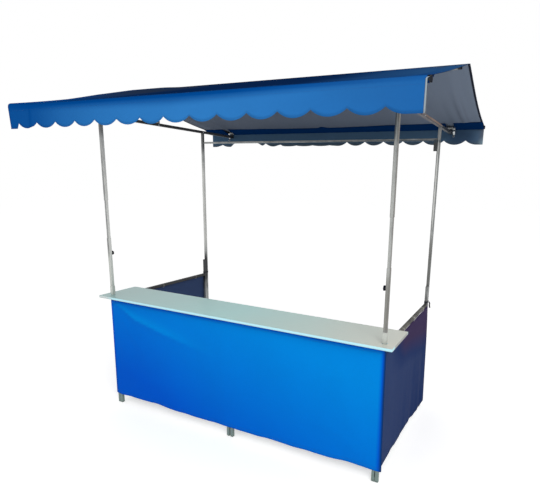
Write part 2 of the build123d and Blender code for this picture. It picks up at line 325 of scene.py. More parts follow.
@dataclass(frozen=True)
class CoatedCloth:
    """Plain woven polyester with a coating. The UV map is the flat cloth in metres.

    A vertex attribute leads from the face colour at 0 to the shade colour at 1 and a third colour at
    2; on the canopy, its lining and the front skirt these tones are painted light and shade.
    """

    name: str
    face: Screen
    shade: Screen
    wear_and_shade: Screen | None = None
    tone: str = TONE
    stains: tuple[StainOrPaintedLight, ...] = ()
    specular: float = 0.04
    thread: float = 0.0012
    roughness: float = 0.72
    mottle: float = 0.10
    weave_depth: float = 0.00016

    def material(self) -> Material:
        """Builds the material."""
        tree = ShaderTree(bpy.data.materials.new(self.name))
        place = tree.place()
        flat = tree.node("ShaderNodeUVMap", {"uv_map": UV_NAME})
        across, along, _ = tree.axes(flat)
        warp = (across * (math.pi / self.thread)).sine()
        weft = (along * (math.pi / self.thread)).sine()
        over = (warp * weft).above(0.0)
        weave = abs(warp) * over + abs(weft) * (1 - over)
        tone = tree.node("ShaderNodeAttribute", {"attribute_name": self.tone})["Fac"]
        clouds = tree.noise(place, 3.2, 4.0, 0.55)
        fine = tree.noise(flat, 60.0, 3.0, 0.6)
        colour = tree.mix(tone, screen(self.face), screen(self.shade))
        # tone above 1 mixes in the third colour, painted shade on the canopy, its lining and the
        # front skirt
        if self.wear_and_shade is not None:
            colour = tree.mix(tone - 1.0, colour, screen(self.wear_and_shade))
        level = (1.0 + (clouds - 0.5) * self.mottle + (fine - 0.5) * 0.06) * (0.94 + weave * 0.08)
        creases = tree.bump(tree.noise(place, 14.0, 4.0, 0.6), 0.004, 0.22)
        return tree.finish(
            tree.shade(tree.overlaid(colour, place, self.stains), level),
            self.roughness + (fine - 0.5) * 0.12,
            tree.bump(weave, self.weave_depth, 0.5, creases),
            {"Specular IOR Level": self.specular},
        )


@dataclass(frozen=True)
class FacedBoard:
    """A board with a smooth pale facing, faint mottling, lighter cut edges, and painted light and
    shade along it.
    """

    name: str
    left: Screen
    middle: Screen
    right: Screen
    edge: Screen
    half_length: float
    roughness: float = 0.34

    def material(self) -> Material:
        """Builds the material."""
        tree = ShaderTree(bpy.data.materials.new(self.name))
        place = tree.place()
        normal = tree.node("ShaderNodeNewGeometry")["Normal"]
        side = 1 - abs(tree.axes(normal)[2]).ease(0.4, 0.8)
        haze = tree.noise(place, 2.4)
        speckle = tree.noise(place, 260.0, 2.0, 0.7)
        scuffs = tree.noise(tree.stretched(place, (14.0, 160.0, 14.0)), 1.0, 4.0, 0.7)
        wear = scuffs.ease(0.56, 0.72) * haze.ease(0.4, 0.62)
        share = tree.axes(place)[0] / (2 * self.half_length) + 0.5 + (haze - 0.5) * 0.16
        left, middle, right, edge = map(screen, (self.left, self.middle, self.right, self.edge))
        # painted light and shade along the board: darkest at the left end, cyan in the middle, warm
        # white at the right end
        stops = {"stops": ((0.0, left), (0.5, middle), (1.0, right))}
        colour = tree.mix(wear * 0.3, tree.node("ShaderNodeValToRGB", stops, {0: share}), left)
        return tree.finish(
            tree.shade(tree.mix(side, colour, edge), 0.98 + speckle * 0.04),
            self.roughness + wear * 0.2 + speckle * 0.04,
            tree.bump(tree.noise(place, 420.0, 2.0), 0.00025, 0.15),
            {"Coat Weight": 0.15},
        )


@dataclass(frozen=True)
class MouldedPlastic:
    """Moulded plastic with a fine spark texture and dust on it."""

    name: str
    body: Screen
    dust: Screen
    roughness: float = 0.45
    stains: tuple[StainOrPaintedLight, ...] = ()
    specular: float = 0.4

    def material(self) -> Material:
        """Builds the material."""
        tree = ShaderTree(bpy.data.materials.new(self.name))
        place = tree.place()
        dust = tree.noise(place, 45.0, 4.0, 0.6).ease(0.5, 0.75)
        colour = tree.mix(dust * 0.35, screen(self.body), screen(self.dust))
        return tree.finish(
            tree.overlaid(colour, place, self.stains),
            self.roughness + dust * 0.25,
            tree.bump(tree.noise(place, 900.0, 2.0), 0.0002, 0.3),
            {"Specular IOR Level": self.specular},
        )


@dataclass(frozen=True)
class RibbedTape:
    """Narrow woven tape or thread, with ribs across it on Object coordinates."""

    name: str
    face: Screen
    shade: Screen
    rib: float = 0.0016
    roughness: float = 0.7

    def material(self) -> Material:
        """Builds the material."""
        tree = ShaderTree(bpy.data.materials.new(self.name))
        place = tree.place()
        x, y, z = tree.axes(place)
        ribs = ((x + y + z) * (2 * math.pi / self.rib)).sine() * 0.5 + 0.5
        wear_and_shade = tree.noise(place, 120.0)
        colour = tree.mix(wear_and_shade.ease(0.4, 0.7), screen(self.face), screen(self.shade))
        return tree.finish(
            tree.shade(colour, 0.9 + ribs * 0.12),
            self.roughness + wear_and_shade * 0.1,
            tree.bump(ribs, 0.0002, 0.4),
        )


class GeometryTree:
    """A Geometry Nodes tree that ends in Realize Instances and Set Material."""

    def __init__(self, name: str) -> None:
        """Makes the tree with its geometry and material sockets."""
        self.group = bpy.data.node_groups.new(name, "GeometryNodeTree")
        for way in ("INPUT", "OUTPUT"):
            self.group.interface.new_socket(
                "Geometry", in_out=way, socket_type="NodeSocketGeometry"
            )
        self.base = self.group.nodes.new("NodeGroupInput").outputs
        self.exit = self.group.nodes.new("NodeGroupOutput")
        self.identifiers: dict[str, str] = {}
        self.material = self.size("Material", None, "NodeSocketMaterial")

    def size(self, name: str, default: float | None, kind: str = "NodeSocketFloat") -> Socket:
        """Adds a named input.

        Args:
            name: The input's name.
            default: Its value where a piece gives none.
            kind: Its socket type.

        Returns:
            The socket inside the tree.
        """
        item = self.group.interface.new_socket(name, in_out="INPUT", socket_type=kind)
        if default is not None:
            item.default_value = default
        self.identifiers[name] = item.identifier
        return next(s for s in self.base if s.identifier == item.identifier)

    def node(
        self, kind: str, settings: dict | None = None, inputs: dict | None = None, output: int = 0
    ) -> Socket:
        """Adds one node.

        Args:
            kind: The node's type.
            settings: Properties, set first.
            inputs: Values, sockets or lists of sockets, by name or number.
            output: The number of the output that is handed back.

        Returns:
            The chosen output.
        """
        made = self.group.nodes.new(kind)
        for key, value in (settings or {}).items():
            setattr(made, key, value)
        for key, value in (inputs or {}).items():
            if isinstance(value, (Socket, list)):
                for source in value if isinstance(value, list) else [value]:
                    self.group.links.new(source, made.inputs[key])
            else:
                made.inputs[key].default_value = value
        return made.outputs[output]

    def times(self, first: Socket, second: Socket | float) -> Socket:
        """The product of two numbers."""
        return self.node("ShaderNodeMath", {"operation": "MULTIPLY"}, {0: first, 1: second})

    def turned(self, axis: str, vector: Socket) -> Socket:
        """The turn that brings an axis onto a direction."""
        return self.node("FunctionNodeAlignRotationToVector", {"axis": axis}, {"Vector": vector})

    def facing(self) -> Socket:
        """The turn that brings Z onto the direction stored with each point."""
        settings, inputs = {"data_type": "FLOAT_VECTOR"}, {"Name": "facing"}
        return self.turned("Z", self.node("GeometryNodeInputNamedAttribute", settings, inputs))

    def cylinder(self, sides: int, radius: Socket, depth: Socket | float) -> Socket:
        """A prism with a number of sides."""
        inputs = {"Vertices": sides, "Radius": radius, "Depth": depth}
        return self.node("GeometryNodeMeshCylinder", None, inputs)

    def beads(self, pitch: Socket, more: dict) -> None:
        """Ends the tree in round beads along the base mesh's lines, one every pitch."""
        curve = self.node("GeometryNodeMeshToCurve", None, {"Mesh": self.base[0]})
        inputs = {"Curve": curve, "Length": pitch}
        even = self.node("GeometryNodeResampleCurve", {"mode": "LENGTH"}, inputs)
        bead = self.node("GeometryNodeMeshIcoSphere", None, {"Radius": 0.5, "Subdivisions": 1})
        self.spread(even, bead, more)

    def spread(self, points: Socket, instance: Socket, more: dict, smooth: bool = True) -> None:
        """Ends the tree in a copy of a shape on each point, as real geometry with its material.

        Args:
            points: The points.
            instance: The shape.
            more: The copies' turn or scale.
            smooth: Whether the shape is shaded smooth.
        """
        inputs = {"Points": points, "Instance": instance, **more}
        copies = self.node("GeometryNodeInstanceOnPoints", None, inputs)
        real = self.node("GeometryNodeRealizeInstances", None, {"Geometry": copies})
        inputs = {"Geometry": real, "Shade Smooth": smooth}
        shaded = self.node("GeometryNodeSetShadeSmooth", None, inputs)
        inputs = {"Geometry": shaded, "Material": self.material}
        dressed = self.node("GeometryNodeSetMaterial", None, inputs)
        self.group.links.new(dressed, self.exit.inputs[0])

    def run(self, name: str, base: Mesh, values: dict) -> Object:
        """Runs the tree on a base mesh and keeps the result as a plain mesh.

        Args:
            name: The new object's name.
            base: The points or lines that the tree works on.
            values: Values for the tree's inputs, by name.

        Returns:
            The object, without a modifier.
        """
        made = new_object(name, base)
        modifier = made.modifiers.new(self.group.name, "NODES")
        modifier.node_group = self.group
        for key, value in values.items():
            modifier[self.identifiers[key]] = value
        graph = bpy.context.evaluated_depsgraph_get()
        result = bpy.data.meshes.new_from_object(made.evaluated_get(graph))
        made.modifiers.remove(modifier)
        made.data = result
        result.name = name
        return made


def stitch_tree() -> GeometryTree:
    """Stitches along lines: a small flattened bead every pitch, turned along the line."""
    tree = GeometryTree("stitches")
    pitch, length = tree.size("Pitch", 0.006), tree.size("Length", 0.004)
    width = tree.size("Width", 0.0008)
    scale = tree.node("ShaderNodeCombineXYZ", None, {"X": length, "Y": width, "Z": width})
    turn = tree.turned("X", tree.node("GeometryNodeInputTangent"))
    tree.beads(pitch, {"Rotation": turn, "Scale": scale})
    return tree


def weld_tree() -> GeometryTree:
    """Weld beads along lines: overlapping lumps of slightly uneven size."""
    tree = GeometryTree("weld_beads")
    pitch, size = tree.size("Pitch", 0.003), tree.size("Size", 0.004)
    inputs = {2: 0.75, 3: 1.15, "Seed": 11}
    chance = tree.node("FunctionNodeRandomValue", {"data_type": "FLOAT"}, inputs, output=1)
    tree.beads(pitch, {"Scale": tree.times(size, chance)})
    return tree


def bolt_tree() -> GeometryTree:
    """Hexagon bolt heads on washers, each turned to face its point's direction."""
    tree = GeometryTree("bolts")
    across, height = tree.size("Head radius", 0.0055), tree.size("Head height", 0.004)
    rise = tree.node("ShaderNodeCombineXYZ", None, {"Z": tree.times(height, 0.5)})
    inputs = {"Geometry": tree.cylinder(6, across, height), "Translation": rise}
    head = tree.node("GeometryNodeTransform", None, inputs)
    washer = tree.cylinder(20, tree.times(across, 1.6), 0.0016)
    both = tree.node("GeometryNodeJoinGeometry", None, {0: [head, washer]})
    tree.spread(tree.base[0], both, {"Rotation": tree.facing()}, smooth=False)
    return tree


def loop_tree() -> GeometryTree:
    """Cable ties round a rail: a flat rounded loop in the plane across the facing direction."""
    tree = GeometryTree("ties")
    inputs = {"Width": tree.size("Loop width", 0.0255), "Height": tree.size("Loop height", 0.0275)}
    square = tree.node("GeometryNodeCurvePrimitiveQuadrilateral", None, inputs)
    inputs = {"Curve": square, "Count": 3, "Radius": 0.005}
    soft = tree.node("GeometryNodeFilletCurve", {"mode": "POLY"}, inputs)
    inputs = {"Resolution": 6, "Radius": tree.size("Tape radius", 0.0008)}
    profile = tree.node("GeometryNodeCurvePrimitiveCircle", None, inputs)
    inputs = {"Curve": soft, "Profile Curve": profile}
    loop = tree.node("GeometryNodeCurveToMesh", None, inputs)
    tree.spread(tree.base[0], loop, {"Rotation": tree.facing()})
    return tree


def new_mesh(name: str, points: Array, faces: Sequence = (), edges: Sequence = ()) -> Mesh:
    """A mesh from points in any grid, with its faces or edges."""
    mesh = bpy.data.meshes.new(name)
    mesh.from_pydata(np.asarray(points, float).reshape(-1, 3).tolist(), edges, faces)
    return mesh


def lines_mesh(name: str, lines: Sequence[Array]) -> Mesh:
    """A mesh of edges along each line of points, for a tree to follow."""
    edges: list[tuple[int, int]] = []
    start = 0
    for line in lines:
        edges += [(i, i + 1) for i in range(start, start + len(line) - 1)]
        start += len(line)
    return new_mesh(name, np.concatenate(lines), edges=edges)


def points_mesh(name: str, places: Sequence[Point], facing: Sequence[Point]) -> Mesh:
    """A mesh of loose points with a facing direction each, for a tree to dress."""
    mesh = new_mesh(name, places)
    attribute = mesh.attributes.new("facing", "FLOAT_VECTOR", "POINT")
    attribute.data.foreach_set("vector", np.array(facing, np.float32).ravel())
    return mesh


def grid_mesh(
    name: str, points: Array, flat: Array, tone: Array | None = None, flip: bool = False
) -> Mesh:
    """A sheet of quads.

    Args:
        name: The mesh's name.
        points: Rows by columns by three coordinates.
        flat: Rows by columns by two, the place on the flat cloth in metres.
        tone: Rows by columns, the tone attribute.
        flip: Turns the faces round.

    Returns:
        The mesh, with its UV map and tone.
    """
    index = np.arange(points[..., 0].size).reshape(points.shape[:2])
    quads = [index[:-1, :-1], index[:-1, 1:], index[1:, 1:], index[1:, :-1]]
    quads = np.stack(quads[::-1] if flip else quads, -1).reshape(-1, 4)
    mesh = new_mesh(name, points, quads.tolist())
    uv = mesh.uv_layers.new(name=UV_NAME)
    corner_of = np.zeros(len(mesh.loops), np.int32)
    mesh.loops.foreach_get("vertex_index", corner_of)
    uv.data.foreach_set("uv", flat.reshape(-1, 2)[corner_of].astype(np.float32).ravel())
    if tone is not None:
        store_tone(mesh, TONE, tone)
    mesh.polygons.foreach_set("use_smooth", np.ones(len(mesh.polygons), bool))
    return mesh


def store_tone(mesh: Mesh, name: str, tone: Array) -> None:
    """Writes a tone for each point of a mesh."""
    attribute = mesh.attributes.new(name, "FLOAT", "POINT")
    attribute.data.foreach_set("value", tone.astype(np.float32).ravel())


def raised(points: Array, height: float) -> Array:
    """A grid of points moved out along its normals, or in by a height below 0."""
    normal = np.cross(np.gradient(points, axis=1), np.gradient(points, axis=0))
    size = np.linalg.norm(normal, axis=-1, keepdims=True)
    return points + normal / np.maximum(size, 1e-12) * height


def strip_mesh(name: str, path: Array, across: Point, width: float, thickness: float) -> Mesh:
    """A flat metal or tape strip along a path.

    Args:
        name: The mesh's name.
        path: Points down the middle of the strip's face.
        across: Unit direction of the strip's width.
        width: Width across the path.
        thickness: Thickness of the strip.

    Returns:
        A closed mesh.
    """
    half = np.array(across, float) * width / 2
    tangent = np.gradient(path, axis=0)
    tangent /= np.linalg.norm(tangent, axis=1, keepdims=True)
    out = np.cross(tangent, np.array(across, float)) * thickness / 2
    corners = ((-1, -1), (1, -1), (1, 1), (-1, 1))
    ring = [path + half * side + out * face for side, face in corners]
    last = (len(path) - 1) * 4
    faces = [(3, 2, 1, 0), (last, last + 1, last + 2, last + 3)]
    for i in range(0, last, 4):
        for k in range(4):
            a, b = i + k, i + (k + 1) % 4
            faces.append((a, b, b + 4, a + 4))
    return new_mesh(name, np.stack(ring, axis=1), faces)


def new_object(name: str, data: bpy.types.ID) -> Object:
    """A new object in the scene."""
    made = bpy.data.objects.new(name, data)
    bpy.context.scene.collection.objects.link(made)
    return made


class Slot(Enum):
    """The stall's material slots."""

    STEEL = "steel"
    BOARD = "board"
    CANOPY = "canopy"
    SKIRT = "skirt"
    SIDE_SKIRT = "side_skirt"
    PLASTIC = "plastic"
    TAPE = "tape"


def settle(made: Object, replaces: Sequence[str] = ()) -> Object:
    """Attaches an object to the stall's body and hides the CAD nodes that it stands for.

    Args:
        made: The object.
        replaces: CAD nodes that it stands for.

    Returns:
        The object.
    """
    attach(made, BODY)
    if replaces:
        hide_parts(*replaces)
    LOG.info("%s: %d faces", made.name, len(made.data.polygons))
    return made


def add_piece(
    name: str,
    meshes: Sequence[Mesh],
    finishes: Sequence[Material],
    replaces: Sequence[str] = (),
    thickness: float = 0.0,
) -> Object:
    """Makes a piece of the stall from meshes that are in place.

    Args:
        name: The piece's name.
        meshes: Its meshes, with the same layers, joined to one.
        finishes: Its materials, the face first and then the back.
        replaces: CAD nodes that it stands for.
        thickness: A sheet's thickness, which goes inwards from its face.

    Returns:
        The object.
    """
    parts = [new_object(name, mesh) for mesh in meshes]
    for part in parts:
        for finish in finishes:
            part.data.materials.append(finish)
    if len(parts) > 1:
        with bpy.context.temp_override(active_object=parts[0], selected_editable_objects=parts):
            bpy.ops.object.join()
    made = settle(parts[0], replaces)
    if thickness:
        solid = made.modifiers.new("Thickness", "SOLIDIFY")
        solid.thickness, solid.offset = thickness, -1.0
        solid.material_offset = len(finishes) - 1
    return made


def dress(start: tuple[str, ...], finish: Material) -> None:
    """Gives the CAD nodes whose names start in these ways a material."""
    for node in sorted(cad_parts):
        if node.startswith(start):
            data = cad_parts[node].data
            data.materials.clear()
            data.materials.append(finish)


GRIME = (62, 55, 48)
# near-black for painted shade: rear left post and leg near the counter, and the left rails
PAINTED_SHADE_BLACK = (26, 28, 32)
PALE = (196, 200, 194)
TEAL = (112, 130, 124)
ZINC = ((162, 164, 162), (126, 128, 127), GRIME)
# Patches on the posts and tubes, most of them painted light and shade: painted shade at the post
# tops under the canopy, on three posts near the counter, on the lower part of the rear right post,
# beside the rear right post's top, along the lower side of the rear tie rail, as darker bands down
# single faces and as dark lines along post edges; painted highlights as lighter bands down single
# faces and on the upper rear left post; pale patches on the front left post just above the counter;
# near-black patches round the right ends of the ridge and eave tubes.
POST_PAINTED_LIGHT_AND_MARKS = (
    StainOrPaintedLight((-1.0, 0.5, 1.99), (0.03, 0.03, 0.16), (70, 70, 72)),
    StainOrPaintedLight((-1.0, 0.49, 0.86), (0.03, 0.05, 0.16), PAINTED_SHADE_BLACK, 0.9),
    StainOrPaintedLight((1.0, 0.5, 0.86), (0.03, 0.03, 0.10), (60, 58, 60)),
    StainOrPaintedLight((-0.9885, -0.5, 1.45), (0.005, 0.02, 0.75), (216, 216, 212), 0.9, 0.8),
    StainOrPaintedLight((-1.0, 0.5, 1.40), (0.03, 0.03, 0.45), (206, 206, 202), 0.8, 0.7),
    StainOrPaintedLight((-1.0, -0.5, 1.99), (0.03, 0.03, 0.14), (92, 92, 94), 0.7),
    StainOrPaintedLight((0.979, 0.491, 1.895), (0.02, 0.012, 0.06), (58, 60, 60), 0.95),
    StainOrPaintedLight((0.996, -0.512, 1.45), (0.012, 0.005, 0.75), (170, 172, 168), 0.8, 0.8),
    StainOrPaintedLight((0.993, -0.512, 1.94), (0.007, 0.006, 0.13), (66, 76, 86), 0.85, 0.7),
    StainOrPaintedLight((1.0, 0.49, 1.926), (1.2, 0.03, 0.011), (58, 70, 78), 0.9, 0.75),
    StainOrPaintedLight((1.195, 0.0, 2.262), (0.03, 0.03, 0.03), (14, 18, 24), 1.0, 0.8),
    StainOrPaintedLight((1.0115, -0.5, 1.45), (0.005, 0.02, 0.75), (112, 108, 102), 0.9, 0.8),
    StainOrPaintedLight((1.0, 0.488, 1.65), (0.0055, 0.005, 0.38), (214, 214, 210), 0.8, 0.8),
    StainOrPaintedLight((1.0, 0.488, 1.1), (0.02, 0.02, 0.22), (112, 112, 108), 0.75, 0.6),
    StainOrPaintedLight((1.0, -0.5, 1.02), (0.05, 0.05, 0.20), (112, 110, 104), 0.7, 0.5),
    StainOrPaintedLight((0.9895, -0.512, 1.45), (0.0035, 0.006, 0.8), (84, 84, 82), 0.85, 0.7),
    StainOrPaintedLight((0.9885, 0.49, 1.4), (0.004, 0.02, 0.8), (72, 74, 74), 0.8, 0.8),
    StainOrPaintedLight((1.0115, 0.5, 1.4), (0.004, 0.02, 0.8), (72, 74, 74), 0.8, 0.8),
    StainOrPaintedLight((-1.0, -0.5, 0.98), (0.04, 0.04, 0.20), PALE, 0.8, 0.4),
    StainOrPaintedLight((1.24, -0.911, 2.012), (0.03, 0.03, 0.03), (16, 20, 26), 1.0, 0.9),
    StainOrPaintedLight((1.24, 0.911, 2.058), (0.03, 0.03, 0.03), (6, 20, 52), 1.0, 0.9),
)
# Patches on the base frame: teal-grey patches at the three front feet, pale patches at the tops of
# the front legs, painted shade on the rear left leg near the counter, and a painted shadow in the
# slot between the two legs of the front right foot.
BASE_MARKS_AND_PAINTED_SHADE = (
    *(StainOrPaintedLight((x, -0.5, 0.03), (0.1, 0.06, 0.15), TEAL, 0.95) for x in (-0.985, 0.0, 0.985)),
    *(StainOrPaintedLight((x, -0.5, 0.86), (0.05, 0.05, 0.09), PALE, 0.95) for x in (-1.0, 1.0)),
    StainOrPaintedLight((-1.0, 0.48, 0.85), (0.05, 0.05, 0.16), PAINTED_SHADE_BLACK, 0.9),
    StainOrPaintedLight((0.989, -0.512, 0.05), (0.0035, 0.02, 0.025), (34, 38, 40), 0.95, 0.7),
)
# Painted shade on the right roof rail: a dark band along its whole length, and its rear half darker
# still under the canopy.
RAIL_PAINTED_SHADE = (
    StainOrPaintedLight((1.0, 0.0, 2.013), (0.03, 1.2, 0.012), (60, 60, 66), 0.9, 0.75),
    StainOrPaintedLight((1.0, 1.0, 2.02), (0.06, 0.53, 0.08), (24, 32, 42), 1.0, 0.9),
)
# A painted highlight on the edge band's left end, and a darker patch on its right end.
EDGE_PAINTED_HIGHLIGHT_AND_DARK_END = (
    StainOrPaintedLight((-1.06, -0.56, 0.811), (0.16, 0.5, 0.06), (206, 212, 208), 0.9, 0.4),
    StainOrPaintedLight((1.07, -0.39, 0.811), (0.016, 0.18, 0.06), (150, 144, 138), 0.95, 0.85),
)
# On the roof cloth: a painted dark slate reflection on the front slope's left part, painted light on
# the front slope's right part and on the ridge's right end, and a near-black patch round the front
# eave tube's right end.
ROOF_PAINTED_LIGHT_AND_DARK_END = (
    StainOrPaintedLight((-0.80, -0.16, 2.2), (0.78, 0.76, 0.9), (38, 50, 70), 0.9, 0.05, 1.1),
    StainOrPaintedLight((1.15, -0.40, 2.15), (0.66, 0.72, 0.5), (40, 80, 124), 0.85, 0.05, 0.9),
    StainOrPaintedLight((1.24, 0.0, 2.28), (0.46, 0.26, 0.2), (54, 74, 98), 0.9, 0.2, 0.5),
    StainOrPaintedLight((1.238, -0.905, 2.026), (0.020, 0.03, 0.020), (12, 18, 28), 1.0, 0.85),
)
# On the lining: a grey band low along the rear valance's inside, a painted shadow round the right
# clip, and a pale patch at the rear valance's right end.
LINING_MARKS_AND_PAINTED_SHADOW = (
    StainOrPaintedLight((0.0, 0.925, 1.94), (3.0, 0.06, 0.04), (70, 80, 86), 0.75, 0.1),
    StainOrPaintedLight((1.08, 0.925, 1.99), (0.14, 0.06, 0.09), (44, 62, 88), 0.7, 0.3),
    StainOrPaintedLight((1.235, 0.925, 1.945), (0.05, 0.06, 0.06), (128, 152, 166), 0.7, 0.1),
)


@dataclass(frozen=True)
class Palette:
    """The stall's materials, built once."""

    post: Material
    rail_right: Material
    rail_left: Material
    rail_worn: Material
    base: Material
    chrome: Material
    board: Material
    board_edge: Material
    canopy: Material
    canopy_back: Material
    pocket: Material
    rake: Material
    skirt: Material
    skirt_back: Material
    side: Material
    side_back: Material
    binding: Material
    thread: Material
    tape: Material
    black: Material
    grey_plastic: Material
    white_tie: Material


def make_palette() -> Palette:
    """Builds every finish of the stall.

    Returns:
        The materials by use.
    """
    steel, cloth, plastic = ZincSteel, CoatedCloth, MouldedPlastic
    rust, rust_dull, navy, rake = (140, 116, 100), (110, 90, 80), (5, 41, 86), (26, 30, 44)
    facing = (155, 191, 188), (177, 230, 225), (218, 217, 204), (190, 240, 250)
    # painted shade: the second and third colours of roof, lining and azure, and the skirt's third
    # colour below, are the cloth as it looks in shade, placed by the tone attributes
    roof, slate = ((47, 121, 190), (2, 70, 142), (10, 36, 76)), ((44, 62, 104), (16, 42, 92))
    lining, azure = ((124, 136, 154), (86, 95, 110), (68, 96, 122)), ((1, 134, 221), (1, 88, 204))
    wear_and_shade = (92, 90, 82), (46, 46, 42), (30, 30, 30)
    half_length = (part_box("counter_top")[1].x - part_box("counter_top")[0].x) / 2
    finishes = {
        "post": steel("galvanised_post", *ZINC, stains=POST_PAINTED_LIGHT_AND_MARKS),
        # weathered brown finish, with painted shade from the rail's patches
        "rail_right": steel(
            "weathered_rail_with_painted_shade", rust, rust_dull, GRIME, 0.4, 0.5, 0.2, stains=RAIL_PAINTED_SHADE
        ),
        # painted shade: the left roof rail and the left side frame's top rail are coloured
        # near-black as they look in shade
        "rail_left": steel("dark_rail", (40, 42, 46), PAINTED_SHADE_BLACK, (18, 18, 20), 0.4, 0.55, 0.1),
        "rail_worn": steel("scuffed_rail", *wear_and_shade, 0.9, 0.6, 0.1),
        "base": steel("base_frame_zinc", *ZINC, 0.5, stains=BASE_MARKS_AND_PAINTED_SHADE),
        "chrome": steel("bright_clip", (214, 216, 216), (176, 178, 178), GRIME, 0.15, 0.2, 0.9),
        "board": FacedBoard("white_faced_board", *facing, half_length),
        "board_edge": plastic("edge_band", (190, 240, 250), (190, 230, 236), 0.32, EDGE_PAINTED_HIGHLIGHT_AND_DARK_END),
        "canopy": cloth("blue_canopy", *roof, stains=ROOF_PAINTED_LIGHT_AND_DARK_END, specular=0.0),
        "canopy_back": cloth("grey_canopy_lining", *lining, LINING, LINING_MARKS_AND_PAINTED_SHADOW),
        # painted shade: the pocket and the rake hem are the blue cloth turned inwards, coloured as
        # it looks in shade
        "pocket": cloth("pocket_in_painted_shade", navy, navy, specular=0.0),
        "rake": cloth("rake_hem_in_painted_shade", rake, rake),
        "skirt": cloth("azure_skirt", *azure, (14, 52, 104), specular=0.02),
        "skirt_back": cloth("azure_skirt_lining", (40, 66, 104), (34, 54, 90)),
        "side": cloth("slate_side_skirt", *slate, (52, 38, 76)),
        "side_back": cloth("slate_side_lining", (70, 90, 130), (60, 78, 116)),
        "binding": cloth("pale_binding", (150, 162, 170), (134, 146, 156)),
        "thread": RibbedTape("blue_thread", (24, 84, 150), (16, 60, 116)),
        "tape": RibbedTape("navy_tape", (14, 18, 28), (30, 34, 44)),
        "black": plastic("black_plastic", (10, 16, 28), (34, 40, 50), 0.7, specular=0.08),
        "grey_plastic": plastic("grey_foot_plastic", (86, 102, 98), (120, 130, 124)),
        "white_tie": plastic("pale_cable_tie", (222, 220, 212), (170, 164, 156)),
    }
    return Palette(**{use: finish.material() for use, finish in finishes.items()})


def ramp(value: Array, width: float | Array) -> Array:
    """0 below 0, rising evenly to 1 at a width."""
    return np.clip(value / width, 0, 1)


def bell(value: Array | float, width: float) -> Array:
    """1 at 0, falling away softly on both sides."""
    return np.exp(-((value / width) ** 2))


def ripple(u: Array, waves: Sequence[Point]) -> Array:
    """A sum of waves, each a length, a height and a start in radians."""
    total = np.zeros(np.shape(u))
    for length, height, start in waves:
        total = total + height * np.sin(2 * math.pi * u / length + start)
    return total


def lengths(path: Array) -> Array:
    """The distance along a path at each of its points."""
    return np.concatenate([[0], np.cumsum(np.linalg.norm(np.diff(path, axis=0), axis=1))])


def cloth_place(x: Array, along: Array) -> Array:
    """Places on the flat cloth, from those across it and a grid of those along it."""
    return np.stack([np.repeat(x[None, :], len(along), axis=0), along], -1)


def tube_axis(node: str) -> tuple[Place, float]:
    """A tube's centre line as (y, z), and its radius."""
    low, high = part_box(node)
    return ((low.y + high.y) / 2, (low.z + high.z) / 2), (high.z - low.z) / 2


@dataclass(frozen=True)
class Crease:
    """A soft ridge in cloth along a bent line of places on it."""

    line: tuple[Place, ...]
    width: float
    height: float

    def lift(self, u: Array, v: Array) -> Array:
        """Height of the crease at each place.

        Args:
            u: First coordinate of the places.
            v: Second coordinate of the places.

        Returns:
            The height there.
        """
        total = sum(math.dist(a, b) for a, b in zip(self.line, self.line[1:]))
        best = np.full(u.shape, np.inf)
        share = np.zeros(u.shape)
        gone = 0.0
        for a, b in zip(self.line, self.line[1:]):
            run = math.dist(a, b)
            t = ((u - a[0]) * (b[0] - a[0]) + (v - a[1]) * (b[1] - a[1])) / run**2
            t = np.clip(t, 0, 1)
            away = np.hypot(u - a[0] - t * (b[0] - a[0]), v - a[1] - t * (b[1] - a[1]))
            share = np.where(away < best, (gone + t * run) / total, share)
            best = np.minimum(best, away)
            gone += run
        fade = np.sin(math.pi * np.clip(share * 0.88 + 0.1, 0, 1)) ** 0.6
        return self.height * bell(best, self.width) * fade


class Rows:
    """Rows of points across the stall, with a tone for each point."""

    def __init__(self, x: Array) -> None:
        """Keeps the columns' places along X."""
        self.x, self.points, self.tones = x, [], []

    def put(self, y: Array | float, z: Array | float, tone: Array | float) -> None:
        """Adds one row."""
        parts = [np.broadcast_to(part, self.x.shape) for part in (self.x, y, z, tone)]
        self.points.append(np.stack(parts[:3], -1))
        self.tones.append(parts[3].astype(float))


